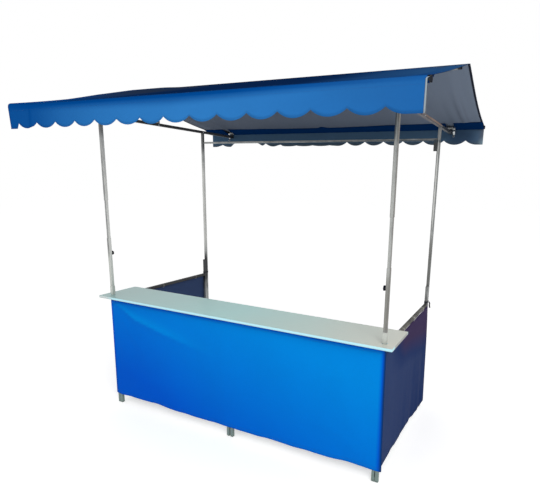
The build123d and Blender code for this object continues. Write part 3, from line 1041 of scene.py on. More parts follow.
@dataclass
class Canopy:
    """The roof cloth: one sheet from scallop to scallop over three tubes, and what is sewn on."""

    palette: Palette
    stitches: GeometryTree
    cloth: float = 0.001
    trim_cloth: float = 0.0008
    binding: float = 0.0012
    pocket_room: float = 0.0012
    hem_turn: float = 0.03
    gap: float = 0.0003
    scallop_pitch: float = 0.1591
    scallop_rise: float = 0.030
    front_first_cusp: float = 0.079
    rear_first_cusp: float = 0.115
    scallop_end: float = 0.030
    front_left_tab: float = 0.062
    samples_per_scallop: int = 12
    valance_rows: int = 15
    wrap_rows: int = 7
    slope_rows: int = 30
    front_sag: float = 0.006
    rear_sag: float = 0.030
    valance_wave: float = 0.004
    corner_lift: float = 0.013
    ridge_lift: float = 0.0065
    corner_round: float = 0.007
    corner_round_width: float = 0.016
    end_shift: float = 0.0075
    end_reach: float = 0.10
    corner_reach: float = 0.012
    rail_cut: Place = (0.972, 1.028)
    hem_width: float = 0.012
    slope_seam: float = 0.075
    valance_seam: float = 0.018
    edge_seam: float = 0.008

    def __post_init__(self) -> None:
        """Takes the tubes' places and the cloth's ends from the CAD nodes."""
        self.front, self.tube_radius = tube_axis("front_eave_tube")
        self.rear, self.ridge = tube_axis("rear_eave_tube")[0], tube_axis("ridge_tube")[0]
        self.outer = self.tube_radius + self.gap + self.cloth
        self.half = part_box("canopy_front_slope")[1].x
        self.front_tip, self.rear_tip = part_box("front_valance")[0].z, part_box("rear_valance")[0].z

    def scallop(self, x: Array, first_cusp: float, tip: float, left_tab: float = 0.0) -> Array:
        """Height of the scalloped edge at each x, flat where an end cuts a scallop.

        Args:
            x: Places along X.
            first_cusp: The first cusp's distance from the left end.
            tip: Height of the scallops' lowest points.
            left_tab: Length of a flat tab at the left end, before a steep rise to the first cusp.

        Returns:
            The edge's height.
        """
        half = self.scallop_pitch / 2
        radius = (half**2 + self.scallop_rise**2) / (2 * self.scallop_rise)
        place = x + self.half
        phase = np.mod(place - first_cusp, self.scallop_pitch) - half
        rise = radius - np.sqrt(radius**2 - phase**2)
        whole = math.ceil((2 * self.half - self.scallop_end - first_cusp) / self.scallop_pitch) - 1
        rise = np.where(place > first_cusp + whole * self.scallop_pitch + half, 0.0, rise)
        if not left_tab:
            return tip + np.where(place < first_cusp - half, 0.0, rise)
        steep = self.scallop_rise * ramp(place - left_tab, first_cusp - left_tab)
        return tip + np.where(place < first_cusp, steep, rise)

    def front_edge(self, x: Array) -> Array:
        """Height of the front valance's edge."""
        return self.scallop(x, self.front_first_cusp, self.front_tip, self.front_left_tab)

    def rear_edge(self, x: Array) -> Array:
        """Height of the rear valance's edge: scallops, shallow in places and pulled up in one.

        Args:
            x: Places along X.

        Returns:
            The edge's height.
        """
        places = (-1.18, -1.10, -0.70, -0.62, -0.52, -0.46, 0.02, 0.10)
        kept = np.interp(x, places, (1.0, 0.5, 0.5, 1.0, 1.0, 0.2, 0.2, 1.0))
        rise = (self.scallop(x, self.rear_first_cusp, self.rear_tip) - self.rear_tip) * kept
        pulled = np.interp(x, (-1.02, -0.985, -0.72, -0.66), (0.0, 1.0, 1.0, 0.0))
        return self.rear_tip + np.maximum(rise, self.scallop_rise * pulled)

    def columns(self) -> Array:
        """Places along X where the sheet has points, with both rows of cusps among them."""
        step = self.scallop_pitch / self.samples_per_scallop
        start = -self.half + self.front_first_cusp
        before = int(self.front_first_cusp / step)
        x = start + step * np.arange(-before, int((self.half - start) / step) + 1)
        cusp = -self.half + self.rear_first_cusp
        while cusp < self.half:
            x[np.argmin(np.abs(x - cusp))] = cusp
            cusp += self.scallop_pitch
        tab = -self.half + self.front_left_tab
        x[np.argmin(np.abs(x - tab))] = tab
        x = x[(x > -self.half + step / 3) & (x < self.half - step / 3)]
        return np.concatenate([[-self.half], x, [self.half]])

    def _angles(self) -> Place:
        """Directions, in radians from +Y, in which the front and rear slopes face."""
        front = math.atan2(self.ridge[0] - self.front[0], -(self.ridge[1] - self.front[1]))
        rear = math.atan2(self.rear[0] - self.ridge[0], self.ridge[1] - self.rear[1])
        return front, rear

    def corner(self, x: Array) -> Array:
        """How far the slack cloth stands up over the front eave tube towards its left end."""
        return self.corner_lift * ramp(-1.04 - x, 0.18) ** 2.2

    def rise(self, x: Array, from_ridge: float, side: int) -> Array:
        """How far the slack cloth stands up near the ridge's left end.

        Args:
            x: Places along X.
            from_ridge: Share of the slope between the ridge and the place.
            side: -1 at the front, 1 at the rear.

        Returns:
            The height there.
        """
        share = ramp(-0.74 - x, 0.22)
        front, rear = (0.0, 0.17, 0.35, 0.6), (0.0, 0.08, 0.2, 0.35)
        levels = (1.0, 0.97, 1.05, 0.0) if side < 0 else (1.0, 0.8, 0.3, 0.0)
        level = np.interp(from_ridge, front if side < 0 else rear, levels)
        return self.ridge_lift * share * share * (3 - 2 * share) * level

    def dip(self, x: Array, from_ridge: float | Array, side: int) -> Array:
        """How far a slope hangs below the straight line between its tubes.

        Args:
            x: Places along X.
            from_ridge: Share of the slope between the ridge and the place.
            side: -1 at the front, 1 at the rear.

        Returns:
            The depth there.
        """
        ends = np.abs(x / self.half)
        if side < 0:
            return self.front_sag * (0.6 + 0.4 * ends) * np.sin(math.pi * from_ridge**1.2)
        return self.rear_sag * (0.9 + 0.1 * ends**4) * np.sin(math.pi * from_ridge**1.1)

    @staticmethod
    def valance_tone(x: Array) -> Array:
        """Painted shade on the front valance: dark at the left end, light in the middle, with a
        darker line at the fold near the left end.
        """
        places = (-1.233, -1.0, -0.75, -0.5, -0.2, 0.1, 0.5, 0.9, 1.233)
        tone = np.interp(x, places, (0.88, 0.82, 0.42, 0.20, 0.08, 0.0, 0.14, 0.36, 0.52))
        return tone + 0.12 * bell(x + 1.045, 0.012)

    @staticmethod
    def slope_tone(x: Array) -> Array:
        """Painted shade of the front slope along the stall: darkest in the middle, lighter towards
        both ends.
        """
        places = (-1.233, -1.0, -0.6, -0.3, 0.6, 0.9, 1.233)
        return np.interp(x, places, (1.0, 1.4, 1.9, 2.0, 2.0, 1.7, 1.5))

    @staticmethod
    def ridge_tone(x: Array) -> Array:
        """Painted shade along the ridge, lighter towards its right end."""
        return np.interp(x, (0.2, 1.1), (2.0, 1.6))

    @staticmethod
    def eave_tone(x: Array) -> Array:
        """Painted shade where the cloth turns over the front eave tube, lighter towards the right
        end.
        """
        return np.interp(x, (0.3, 1.1), (1.06, 0.74))

    def _hang(self, rows: Rows, tube: Place, side: int, edge: Array) -> None:
        """Adds the rows of a valance, from its edge up at the front and down to it at the rear.

        Args:
            rows: The rows so far.
            tube: The eave tube's centre as (y, z).
            side: -1 at the front, 1 at the rear.
            edge: Height of the scalloped edge.
        """
        x = rows.x
        corner, face, deep = self.corner(x), self.valance_tone(x), self.eave_tone(x)
        swing = ripple(x, ((0.62, 0.5, 0.4), (0.27, 0.3, 2.0), (self.scallop_pitch, 0.25, 0.8)))
        fall = np.interp(x, (-1.0, 0.0, 1.0), (0.050, 0.070, 0.030))
        shares = np.linspace(0, 1, self.valance_rows)[:-1] ** 0.7
        for share in shares if side < 0 else shares[::-1]:
            z = edge + (tube[1] - edge) * share
            low = 1 - share
            out = self.valance_wave * low**1.4 * (swing + 0.35)
            tone = 0.3 + 0.12 * ripple(x, ((1.9, 1.0, 1.4),))
            if side < 0:
                out = out + 0.005 * bell(x + 1.045, 0.014) * (0.35 + 0.65 * low)
                # painted shade: the front valance darkens up towards the eave tube, over a fall that
                # is longest in the middle
                below = 1 - ramp(tube[1] + self.outer - z, fall)
                tone = face + (deep - face) * below * below * (3 - 2 * below)
                z = z + corner * share
            rows.put(tube[0] + side * (self.outer + out), z, tone)

    def _wrap(
        self, rows: Rows, tube: Place, turn: Place, tone: Sequence, lift: Array | float
    ) -> None:
        """Adds the rows round a tube.

        Args:
            rows: The rows so far.
            tube: The tube's centre as (y, z).
            turn: The first and last direction from the centre, in radians from +Y.
            tone: The first and last tone.
            lift: How far the cloth stands up off the tube.
        """
        for i in range(self.wrap_rows):
            share = i / (self.wrap_rows - 1)
            angle = turn[0] + (turn[1] - turn[0]) * share
            rows.put(
                tube[0] + self.outer * math.cos(angle),
                tube[1] + self.outer * math.sin(angle) + lift,
                tone[0] + (tone[1] - tone[0]) * share**0.7,
            )

    def _span(self, rows: Rows, tubes: tuple[Place, Place], face: float, side: int) -> None:
        """Adds the rows of a slope between two tubes, without its ends.

        Args:
            rows: The rows so far.
            tubes: The tubes' centres as (y, z), the front one first.
            face: The direction that the slope faces, in radians from +Y.
            side: -1 at the front, 1 at the rear.
        """
        x = rows.x
        corner, roof, top = self.corner(x), self.slope_tone(x), self.ridge_tone(x)
        folds = ripple(x, ((0.83, 1.0, 0.6), (0.37, 0.6, 2.2), (0.19, 0.3, 1.0)))
        offset = np.array([math.cos(face), math.sin(face)])
        start, end = (np.array(tube) + self.outer * offset for tube in tubes)
        for i in range(1, self.slope_rows):
            share = i / self.slope_rows
            from_ridge = share if side > 0 else 1 - share
            free = math.sin(math.pi * share) ** 0.8
            dip = self.dip(x, from_ridge, side) + 0.0020 * free * folds
            for centre, depth in ((1.105, 0.006), (1.165, -0.004), (-1.12, 0.005)):
                dip = dip + depth * free * bell(x - centre, 0.02)
            point = start + (end - start) * share
            # painted light and shade on the outer face: the front slope takes slope_tone's painted
            # shade and the rear slope 1.4; both move to the ridge's tone near the ridge and lighten
            # to 1 near the eaves
            tone = 1.4 if side > 0 else roof
            tone = tone + (top - tone) * bell(from_ridge, 0.05)
            tone = tone + (1.0 - tone) * bell(1 - from_ridge, 0.05)
            lift = self.rise(x, from_ridge, side) + (corner * from_ridge**3 if side < 0 else 0.0)
            rows.put(point[0] - offset[0] * dip, point[1] - offset[1] * dip + lift, tone)

    def _ease_corners(self, points: Array, x: Array) -> None:
        """Rounds the front left corner and shifts both ends of the front valance, in place.

        Args:
            points: The sheet's points, rows by columns.
            x: Places of the columns along X.
        """
        top = self.front[1] + self.outer + self.corner(x)
        at_tube = bell(points[..., 2] - top, 0.012) * (points[..., 1] < self.front[0] + 0.03)
        rounded = ramp(self.corner_round_width - self.half - x, self.corner_round_width)
        points[..., 0] += at_tube * self.corner_round * rounded
        face = points[: self.valance_rows + 1]
        drop = ramp(self.front[1] + self.outer - face[..., 2], self.outer)
        at_end = ramp(x - self.half + self.end_reach, self.end_reach)
        face[..., 0] -= self.end_shift * drop * at_end
        out = np.interp(points[..., 2], (self.front_tip, self.front[1]), (0.0, self.corner_reach))
        out = out * np.clip(1 - (points[..., 1] - self.front[0]) / 0.35, 0, 1)
        points[..., 0] -= out * ramp(self.end_reach - self.half - x, self.end_reach)

    def surface(self, x: Array) -> tuple[Array, Array, Array]:
        """The cloth's outer face.

        Args:
            x: Places along X, one for each column.

        Returns:
            The points by row and column, the distance along the cloth, and the tone.
        """
        rows = Rows(x)
        front, rear = self._angles()
        top, over = self.ridge_tone(x), self.eave_tone(x) - 0.06
        self._hang(rows, self.front, -1, self.front_edge(x))
        self._wrap(rows, self.front, (math.pi, front), (over, over + 0.1), self.corner(x))
        self._span(rows, (self.front, self.ridge), front, -1)
        self._wrap(rows, self.ridge, (front, rear), (top, top), self.rise(x, 0.0, -1))
        self._span(rows, (self.ridge, self.rear), rear, 1)
        self._wrap(rows, self.rear, (rear, 0.0), (1.4, 0.3), 0.0)
        self._hang(rows, self.rear, 1, self.rear_edge(x))
        points = np.stack(rows.points)
        self._ease_corners(points, x)
        along = lengths(points[:, len(x) // 2])
        return points, np.repeat(along[:, None], len(x), axis=1), np.stack(rows.tones)

    def lining_tone(self, points: Array) -> Array:
        """Painted light and shade on the lining: pale under the rear slope's right end, darker
        towards the middle and the rear eave, with dark streaks at the right end; the hanging rear
        valance's inside takes the third colour as painted shade, lighter at its right end.

        Args:
            points: The sheet's points, rows by columns.

        Returns:
            The tone of each point.
        """
        x, y, z = points[..., 0], points[..., 1], points[..., 2]
        tone = np.interp(x, (-1.233, -0.2, 0.6, 0.95, 1.233), (0.8, 0.82, 0.68, 0.3, 0.08))
        from_ridge = ramp(y, self.rear[0])
        tone = tone + 0.25 * from_ridge**2
        streaked = ramp(from_ridge - 0.3, 0.3)
        for centre, width, depth in ((1.10, 0.014, 0.5), (1.03, 0.02, 0.2), (1.14, 0.01, 0.2)):
            tone = tone + depth * streaked * bell(x - centre, width)
        hanging = (y > self.rear[0]) & (z < self.rear[1] + self.outer)
        inside = np.interp(x, (-1.233, 1.12, 1.2, 1.233), (2.0, 1.95, 1.75, 0.7))
        return np.where(hanging, inside, tone)

    def build_sheet(self) -> Object:
        """Builds the cloth."""
        x = self.columns()
        points, along, tone = self.surface(x)
        mesh = grid_mesh("canopy", points, cloth_place(x, along), tone)
        store_tone(mesh, LINING, self.lining_tone(points))
        nodes = ("canopy_front_slope", "canopy_rear_slope", "front_valance", "rear_valance")
        finishes = [self.palette.canopy, self.palette.canopy_back]
        self.flat_size = (2 * self.half, float(along[-1, 0] + self.hem_turn))
        return add_piece("canopy", [mesh], finishes, nodes, self.cloth)

    def build_pocket(self, name: str, tube: Place, side: int) -> Object:
        """Builds the sleeve that is sewn inside an eave, cut away at the roof rails.

        Args:
            name: The piece's name.
            tube: The eave tube's centre as (y, z).
            side: -1 at the front, 1 at the rear.

        Returns:
            The piece.
        """
        face = self._angles()[0 if side < 0 else 1]
        lining = self.outer - self.cloth
        around = self.tube_radius + self.pocket_room
        span = math.dist(tube, self.ridge)
        offset = np.array([math.cos(face), math.sin(face)])
        inward = (np.array(self.ridge) - np.array(tube)) / span
        sleeve = [(tube[0] + side * (lining - 0.0006), tube[1] - 0.008)]
        sleeve += [
            (tube[0] + around * math.cos(a) * side, tube[1] + around * math.sin(a))
            for a in np.radians([-45, -60, -85, -110, -135, -158])
        ]
        near, far = self.rail_cut
        end = self.half - 0.001
        places = (-1.2, -0.6, -0.33, 0.0, 0.2, 0.5, 1.2)
        meshes = []
        for first, last in ((-end, -far), (-near, near), (far, end)):
            x = np.linspace(first, last, max(4, int((last - first) / 0.02)))
            reach = np.full_like(x, self.slope_seam)
            if side > 0:
                reach = np.interp(x, places, (0.110, 0.082, 0.064, 0.058, 0.065, 0.084, 0.105))
                reach = reach + 0.040 * bell(x + 0.033, 0.035)
            hang = lining - self.pocket_room - self.dip(x, 1 - reach / span, side)
            seam = [tube[i] + inward[i] * reach + offset[i] * hang for i in (0, 1)]
            seam[1] = seam[1] + (self.corner(x) * 0.85 if side < 0 else 0.0)
            middle = [seam[i] * 0.5 + sleeve[-1][i] * 0.5 - offset[i] * 0.002 for i in (0, 1)]
            profile = [*sleeve, middle, seam]
            points = np.stack([np.stack([x, y + 0 * x, z + 0 * x], -1) for y, z in profile])
            points[-3:, :, 2] -= np.abs(ripple(x, ((0.21, 0.001, 0.3), (0.093, 0.0007, 1.3))))
            flat = np.stack(np.meshgrid(x, lengths(points[:, len(x) // 2])), -1)
            meshes.append(grid_mesh(name, points, flat, flip=side < 0))
        return add_piece(name, meshes, [self.palette.pocket], (), self.trim_cloth)

    def build_rake_hem(self, name: str, side: int) -> Object:
        """Builds the hem turned in along a gable edge.

        Args:
            name: The piece's name.
            side: -1 at the left, 1 at the right.

        Returns:
            The piece.
        """
        edge = side * (self.half - 0.0005)
        x = [edge, edge - side * self.hem_width / 2, edge - side * self.hem_width]
        x = np.sort(np.array(x))
        points, along, tone = self.surface(x)
        points = raised(points, -(self.cloth + 0.0004))
        keep = slice(self.valance_rows - 1, len(points) - self.valance_rows + 1)
        mesh = grid_mesh(name, points[keep], cloth_place(x, along)[keep], tone[keep])
        return add_piece(name, [mesh], [self.palette.rake], (), self.trim_cloth)

    def build_end_binding(self) -> Object:
        """Builds the pale binding on the right end of the front valance."""
        x = self.half + np.array([-0.0065, -0.003, 0.0004])
        points, along, _ = self.surface(x)
        keep = slice(0, self.valance_rows + 2)
        name, points = "valance_end_binding", raised(points, self.binding)[keep]
        mesh = grid_mesh(name, points, cloth_place(x, along)[keep])
        return add_piece(name, [mesh], [self.palette.binding], (), self.binding)

    def build_stitches(self) -> Object:
        """Builds the seams' stitches on the outer face."""
        x = np.linspace(-self.half + 0.004, self.half - 0.004, 400)
        points, along, _ = self.surface(x)
        face = raised(points, THREAD_PROUD)
        front, rear = face[: self.valance_rows], face[: -self.valance_rows - 1 : -1]
        lines = []
        for part, edge, tube in (
            (front, self.front_edge(x), self.front), (rear, self.rear_edge(x), self.rear)
        ):
            for wanted in (edge + self.edge_seam, np.full_like(x, tube[1] - self.valance_seam)):
                lines.append(self._at_height(part, wanted))
        lines += [face[row] for row in self._seam_rows(along[:, 0])]
        inset = self.hem_width - 0.003
        for edge in (-self.half + inset, self.half - inset):
            column, _, _ = self.surface(np.array([edge - 0.001, edge, edge + 0.001]))
            lines.append(raised(column, THREAD_PROUD)[:, 1])
        mesh, values = lines_mesh("canopy_stitches", lines), {"Material": self.palette.thread}
        return settle(self.stitches.run("canopy_stitches", mesh, values))

    @staticmethod
    def _at_height(part: Array, wanted: Array) -> Array:
        """Points of a valance at a wanted height in each column.

        Args:
            part: The valance's points by row and column, the lowest row first.
            wanted: The height in each column.

        Returns:
            A point in each column.
        """
        columns = [part[:, i] for i in range(part.shape[1])]
        return np.array(
            [
                [np.interp(height, column[:, 2], column[:, axis]) for axis in range(3)]
                for height, column in zip(wanted, columns)
            ]
        )

    def _seam_rows(self, along: Array) -> list[int]:
        """Rows of the slopes nearest to the pocket seams.

        Args:
            along: Distance along the cloth at each row.

        Returns:
            The front seam's row and the rear seam's.
        """
        first, last = along[self.valance_rows + self.wrap_rows - 2], len(along) + 1
        tail = along[last - self.valance_rows - self.wrap_rows]
        wanted = (along - first - self.slope_seam, along - tail + self.slope_seam)
        return [int(np.argmin(np.abs(away))) for away in wanted]

    def build(self) -> None:
        """Builds the canopy and the pieces sewn on it."""
        sheet = self.build_sheet()
        trims = [
            self.build_pocket("front_eave_pocket", self.front, -1),
            self.build_pocket("rear_eave_pocket", self.rear, 1),
            self.build_rake_hem("rake_hem_left", -1),
            self.build_rake_hem("rake_hem_right", 1),
            self.build_end_binding(),
            self.build_stitches(),
        ]


@dataclass
class Skirts:
    """The cloth round the base: a front sheet that turns both corners, and one at each side."""

    palette: Palette
    stitches: GeometryTree
    ties: GeometryTree
    cloth: float = 0.001
    corner: float = 0.006
    turn_back: float = 0.004
    hem: float = 0.022
    columns: int = 150
    side_columns: int = 80
    rows: int = 50
    creases: tuple[Crease, ...] = (
        Crease(((-0.990, 0.780), (-0.784, 0.668), (-0.514, 0.606), (-0.302, 0.561)), 0.020, 0.006),
        Crease(((-0.990, 0.740), (-0.840, 0.560), (-0.700, 0.400)), 0.030, 0.0035),
        Crease(((0.985, 0.770), (0.820, 0.620), (0.600, 0.520)), 0.030, 0.003),
        Crease(((-0.960, 0.100), (-0.700, 0.220), (-0.380, 0.270)), 0.035, 0.003),
        Crease(((0.970, 0.110), (0.740, 0.240), (0.480, 0.300)), 0.035, 0.003),
        Crease(((-0.020, 0.780), (-0.060, 0.500), (-0.030, 0.110)), 0.030, 0.0025),
    )

    def plan(self, half_x: float, front_y: float) -> Array:
        """The front sheet's line seen from above, from its left end round both corners.

        Args:
            half_x: Half its width.
            front_y: Where its face is.

        Returns:
            The line's points.
        """
        r = self.corner
        back = front_y + r
        points = [(-half_x, back + d) for d in np.linspace(self.turn_back, 0.001, 3)]
        for angle in np.linspace(math.pi, 1.5 * math.pi, 6):
            points.append((-half_x + r + r * math.cos(angle), back + r * math.sin(angle)))
        points += [(x, front_y) for x in np.linspace(-half_x + r, half_x - r, self.columns)[1:-1]]
        for angle in np.linspace(1.5 * math.pi, 2 * math.pi, 6):
            points.append((half_x - r + r * math.cos(angle), back + r * math.sin(angle)))
        points += [(half_x, back + d) for d in np.linspace(0.001, self.turn_back, 3)]
        return np.array(points)

    def build_front(self) -> None:
        """Builds the front sheet with its creases and wavy hem."""
        low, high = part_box("front_skirt")
        half_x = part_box("side_skirt_right")[1].x + 0.0016
        plan = self.plan(half_x, low.y)
        run = lengths(plan)
        share = np.linspace(0, 1, self.rows)[:, None]
        x, y = (np.repeat(part[None, :], self.rows, 0) for part in plan.T)
        bottom = low.z - 0.009 - 0.007 * np.cos(plan[:, 0] * math.pi / 2) ** 2
        waves = ((0.71, 0.0015, 0.7), (0.29, 0.001, 2.1), (0.13, 0.0006, 0.2))
        bottom = bottom + ripple(plan[:, 0], waves)
        top = high.z + ripple(plan[:, 0], ((0.9, 0.0012, 0.2), (0.23, 0.0008, 1.1)))
        z = bottom[None, :] + (top - bottom)[None, :] * share
        inner = ramp(half_x - 0.012 - np.abs(x), 0.05)
        lift = sum(crease.lift(x, z) for crease in self.creases)
        bay = np.sin(math.pi * ramp(np.abs(x) - 0.03, 0.93)) * np.sin(math.pi * share)
        soft = ripple(x + 0.35 * z, ((0.42, 1.0, 0.5), (0.19, 0.5, 1.4)))
        lift = lift + 0.0014 * soft * np.sqrt(share * (1 - share)) * 2
        lift = lift - 0.003 * bay
        flutter = 1 + ripple(x, ((0.52, 1.0, 0.3), (0.24, 0.6, 2.0)))
        lift = lift + 0.0030 * np.exp(-((z - bottom[None, :]) / 0.05)) * flutter
        y = y - np.maximum(lift, -0.0035) * inner
        points = np.stack([x, y, z], -1)
        from_left = (x + half_x) / (2 * half_x)
        # painted shade: darker towards the bottom and the left, less the crease's painted highlight
        tone = 1.14 - 0.725 * share - 0.675 * from_left - self.crease_light(x, z)
        tone = np.clip(tone, 0, 1)
        # painted shade round both turned corners, and painted shadow in a band along the top under
        # the counter
        dark = ramp(np.abs(x) - half_x + 0.026, 0.026) * np.where(x > 0, 1.1, 0.6)
        dark = np.maximum(dark, 0.8 * ramp(share - 0.972, 0.028))
        tone = tone + (2.0 - tone) * dark
        flare = np.where(x < 0, -0.006, 0.010) * (1 - share) ** 1.5
        points[..., 0] += flare * ramp(np.abs(x) - 0.85, 0.16)
        mesh = grid_mesh("front_skirt_cloth", points, cloth_place(run, z), tone)
        finishes = [self.palette.skirt, self.palette.skirt_back, self.palette.thread]
        size = (float(run[-1]), high.z - low.z)
        self._hang("front_skirt", mesh, Slot.SKIRT, finishes, points, size)

    @staticmethod
    def crease_light(x: Array, z: Array) -> Array:
        """Painted highlight in the band above the long crease at the top left, with painted shade
        just below the crease.

        Args:
            x: Places along X.
            z: Heights.

        Returns:
            The share to take off the tone.
        """
        places = (-0.985, -0.784, -0.514, -0.302, -0.10)
        above = z - np.interp(x, places, (0.775, 0.668, 0.606, 0.561, 0.530))
        width = np.interp(x, places, (0.006, 0.045, 0.060, 0.065, 0.060))
        share = np.interp(x, places, (0.3, 0.50, 0.36, 0.16, 0.0))
        edge = np.clip(above / 0.014 + 0.5, 0, 1)
        light = bell(np.maximum(above, 0), width)
        return share * (edge * light - 0.2 * (1 - edge)) * (x > -0.985)

    def build_side(self, name: str, side: int) -> None:
        """Builds a side sheet.

        Args:
            name: left or right.
            side: -1 at the left, 1 at the right.
        """
        node = f"side_skirt_{name}"
        low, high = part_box(node)
        y_line = np.linspace(low.y + 0.001, high.y, self.side_columns)
        share = np.linspace(0, 1, self.rows)[:, None]
        along = (y_line - low.y) / (high.y - low.y)
        front_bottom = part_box("front_skirt")[0].z
        drop = np.interp(along, [0, 0.55, 0.93, 1.0], [0, 0.35, 1.12, 0.8])
        bottom = front_bottom - (front_bottom - low.z) * drop
        bottom = bottom + ripple(y_line, ((0.33, 0.003, 0.4), (0.14, 0.0015, 1.0)))
        top = high.z + ripple(y_line, ((0.41, 0.001, 0.9), (0.16, 0.0006, 0.1)))
        z = bottom[None, :] + (top - bottom)[None, :] * share
        y = np.repeat(y_line[None, :], self.rows, 0)
        along = along[None, :]
        loose = (1 - share) ** 1.5 * np.clip(along * 1.4 - 0.1, 0, 1)
        out = 0.004 * loose * (1 + ripple(y, ((0.24, 0.8, 0.3), (0.11, 0.35, 1.9))))
        out = out + 0.016 * ramp(along - 0.7, 0.3) ** 1.5 * (1 - share) ** 0.8
        soft = 1 + ripple(y + 0.3 * z, ((0.31, 1.0, 0.2),))
        out = out + 0.0015 * soft * np.sin(math.pi * share)
        out = out * ramp(along, 0.08)
        y = y - 0.004 * ramp(along - 0.93, 0.07) * (1 - share) ** 6
        face = high.x if side > 0 else -low.x
        points = np.stack([side * (face + out), y, z], -1)
        tone = np.clip(0.15 + 0.75 * (1 - share) * along + 0.25 * along, 0, 1)
        purple = ramp(along - 0.10, 0.30) * ramp(share - 0.72 + 0.2 * along, 0.25)
        tone = (tone + (2.0 - tone) * purple) * np.ones_like(z)
        mesh = grid_mesh(f"{node}_cloth", points, np.stack([y, z], -1), tone, flip=side < 0)
        finishes = [self.palette.side, self.palette.side_back, self.palette.tape]
        size = (high.y - low.y, high.z - low.z)
        outward = points if side > 0 else points[:, ::-1]
        self._hang(node, mesh, Slot.SIDE_SKIRT, finishes, outward, size)

    def _hang(
        self,
        node: str,
        mesh: Mesh,
        slot: Slot,
        finishes: Sequence[Material],
        points: Array,
        size: Place,
    ) -> None:
        """Args:
            node: The CAD node that it replaces.
            mesh: The sheet.
            slot: Not used.
            finishes: The finishes of its face, its back and its stitches.
            points: Its outer face, rows from the bottom up.
            size: Its flat width and height.
        """
        *sides, thread = finishes
        sheet = add_piece(f"{node}_cloth", [mesh], sides, [node], self.cloth)
        face = raised(points, THREAD_PROUD)
        lines = []
        for inset in (self.hem, self.hem - 0.005):
            lines += [self._row(face, share) for share in (inset / size[1], 1 - inset / size[1])]
        stitched = self.stitches.run(
            f"{node}_stitches", lines_mesh("hem", lines), {"Material": thread}
        )
        settle(stitched)

    @staticmethod
    def _row(points: Array, share: float) -> Array:
        """The line across a sheet at a share of its height."""
        at = share * (len(points) - 1)
        low = min(int(at), len(points) - 2)
        return points[low] + (points[low + 1] - points[low]) * (at - low)

    def build_ties(self) -> None:
        """Builds the cable ties that hold the side sheets' tops to their rails."""
        places, facing = [], []
        for name, side, count in (("left", -1, 3), ("right", 1, 4)):
            low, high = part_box(f"side_frame_{name}_top_rail")
            x, z = (low.x + high.x) / 2 + side * 0.0015, (low.z + high.z) / 2 - 0.003
            for y in np.linspace(low.y + 0.08, high.y - 0.12, count):
                places.append((x, float(y), z))
                facing.append((0.0, 1.0, 0.06 * side))
        mesh, values = points_mesh("ties", places, facing), {"Material": self.palette.white_tie}
        settle(self.ties.run("rail_ties", mesh, values))

    def build(self) -> None:
        """Builds the three sheets and their ties."""
        self.build_front()
        self.build_side("left", -1)
        self.build_side("right", 1)
        self.build_ties()


@dataclass
class Counter:
    """The counter board's finish and its edge band."""

    palette: Palette
    band: float = 0.0008
    corner: float = 0.004

    def build(self) -> None:
        """Dresses the board and builds the band round its edge."""
        dress(("counter_top",), self.palette.board)
        low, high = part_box("counter_top")
        r = self.corner
        left, right, front, back = low.x + r, high.x - r, low.y + r, high.y - r
        centres = ((right, back), (left, back), (left, front), (right, front))
        outline = [
            (*centre, math.cos(angle) * r, math.sin(angle) * r)
            for quarter, centre in enumerate(centres)
            for angle in np.radians(np.linspace(quarter * 90, quarter * 90 + 90, 6))
        ]
        ring = np.array(outline + outline[:1])
        grow = 1 + self.band / r
        rows = []
        for z, scale in (
            (low.z + 0.0004, 1.0),
            (low.z + 0.0006, grow),
            (high.z - 0.0006, grow),
            (high.z - 0.0004, 1.0),
        ):
            edge = ring[:, :2] + ring[:, 2:] * scale
            rows.append(np.column_stack([edge, np.full(len(ring), z)]))
        points = np.stack(rows)
        mesh = grid_mesh("counter_edge_band", points, points[..., :2])
        add_piece("counter_edge_band", [mesh], [self.palette.board_edge])


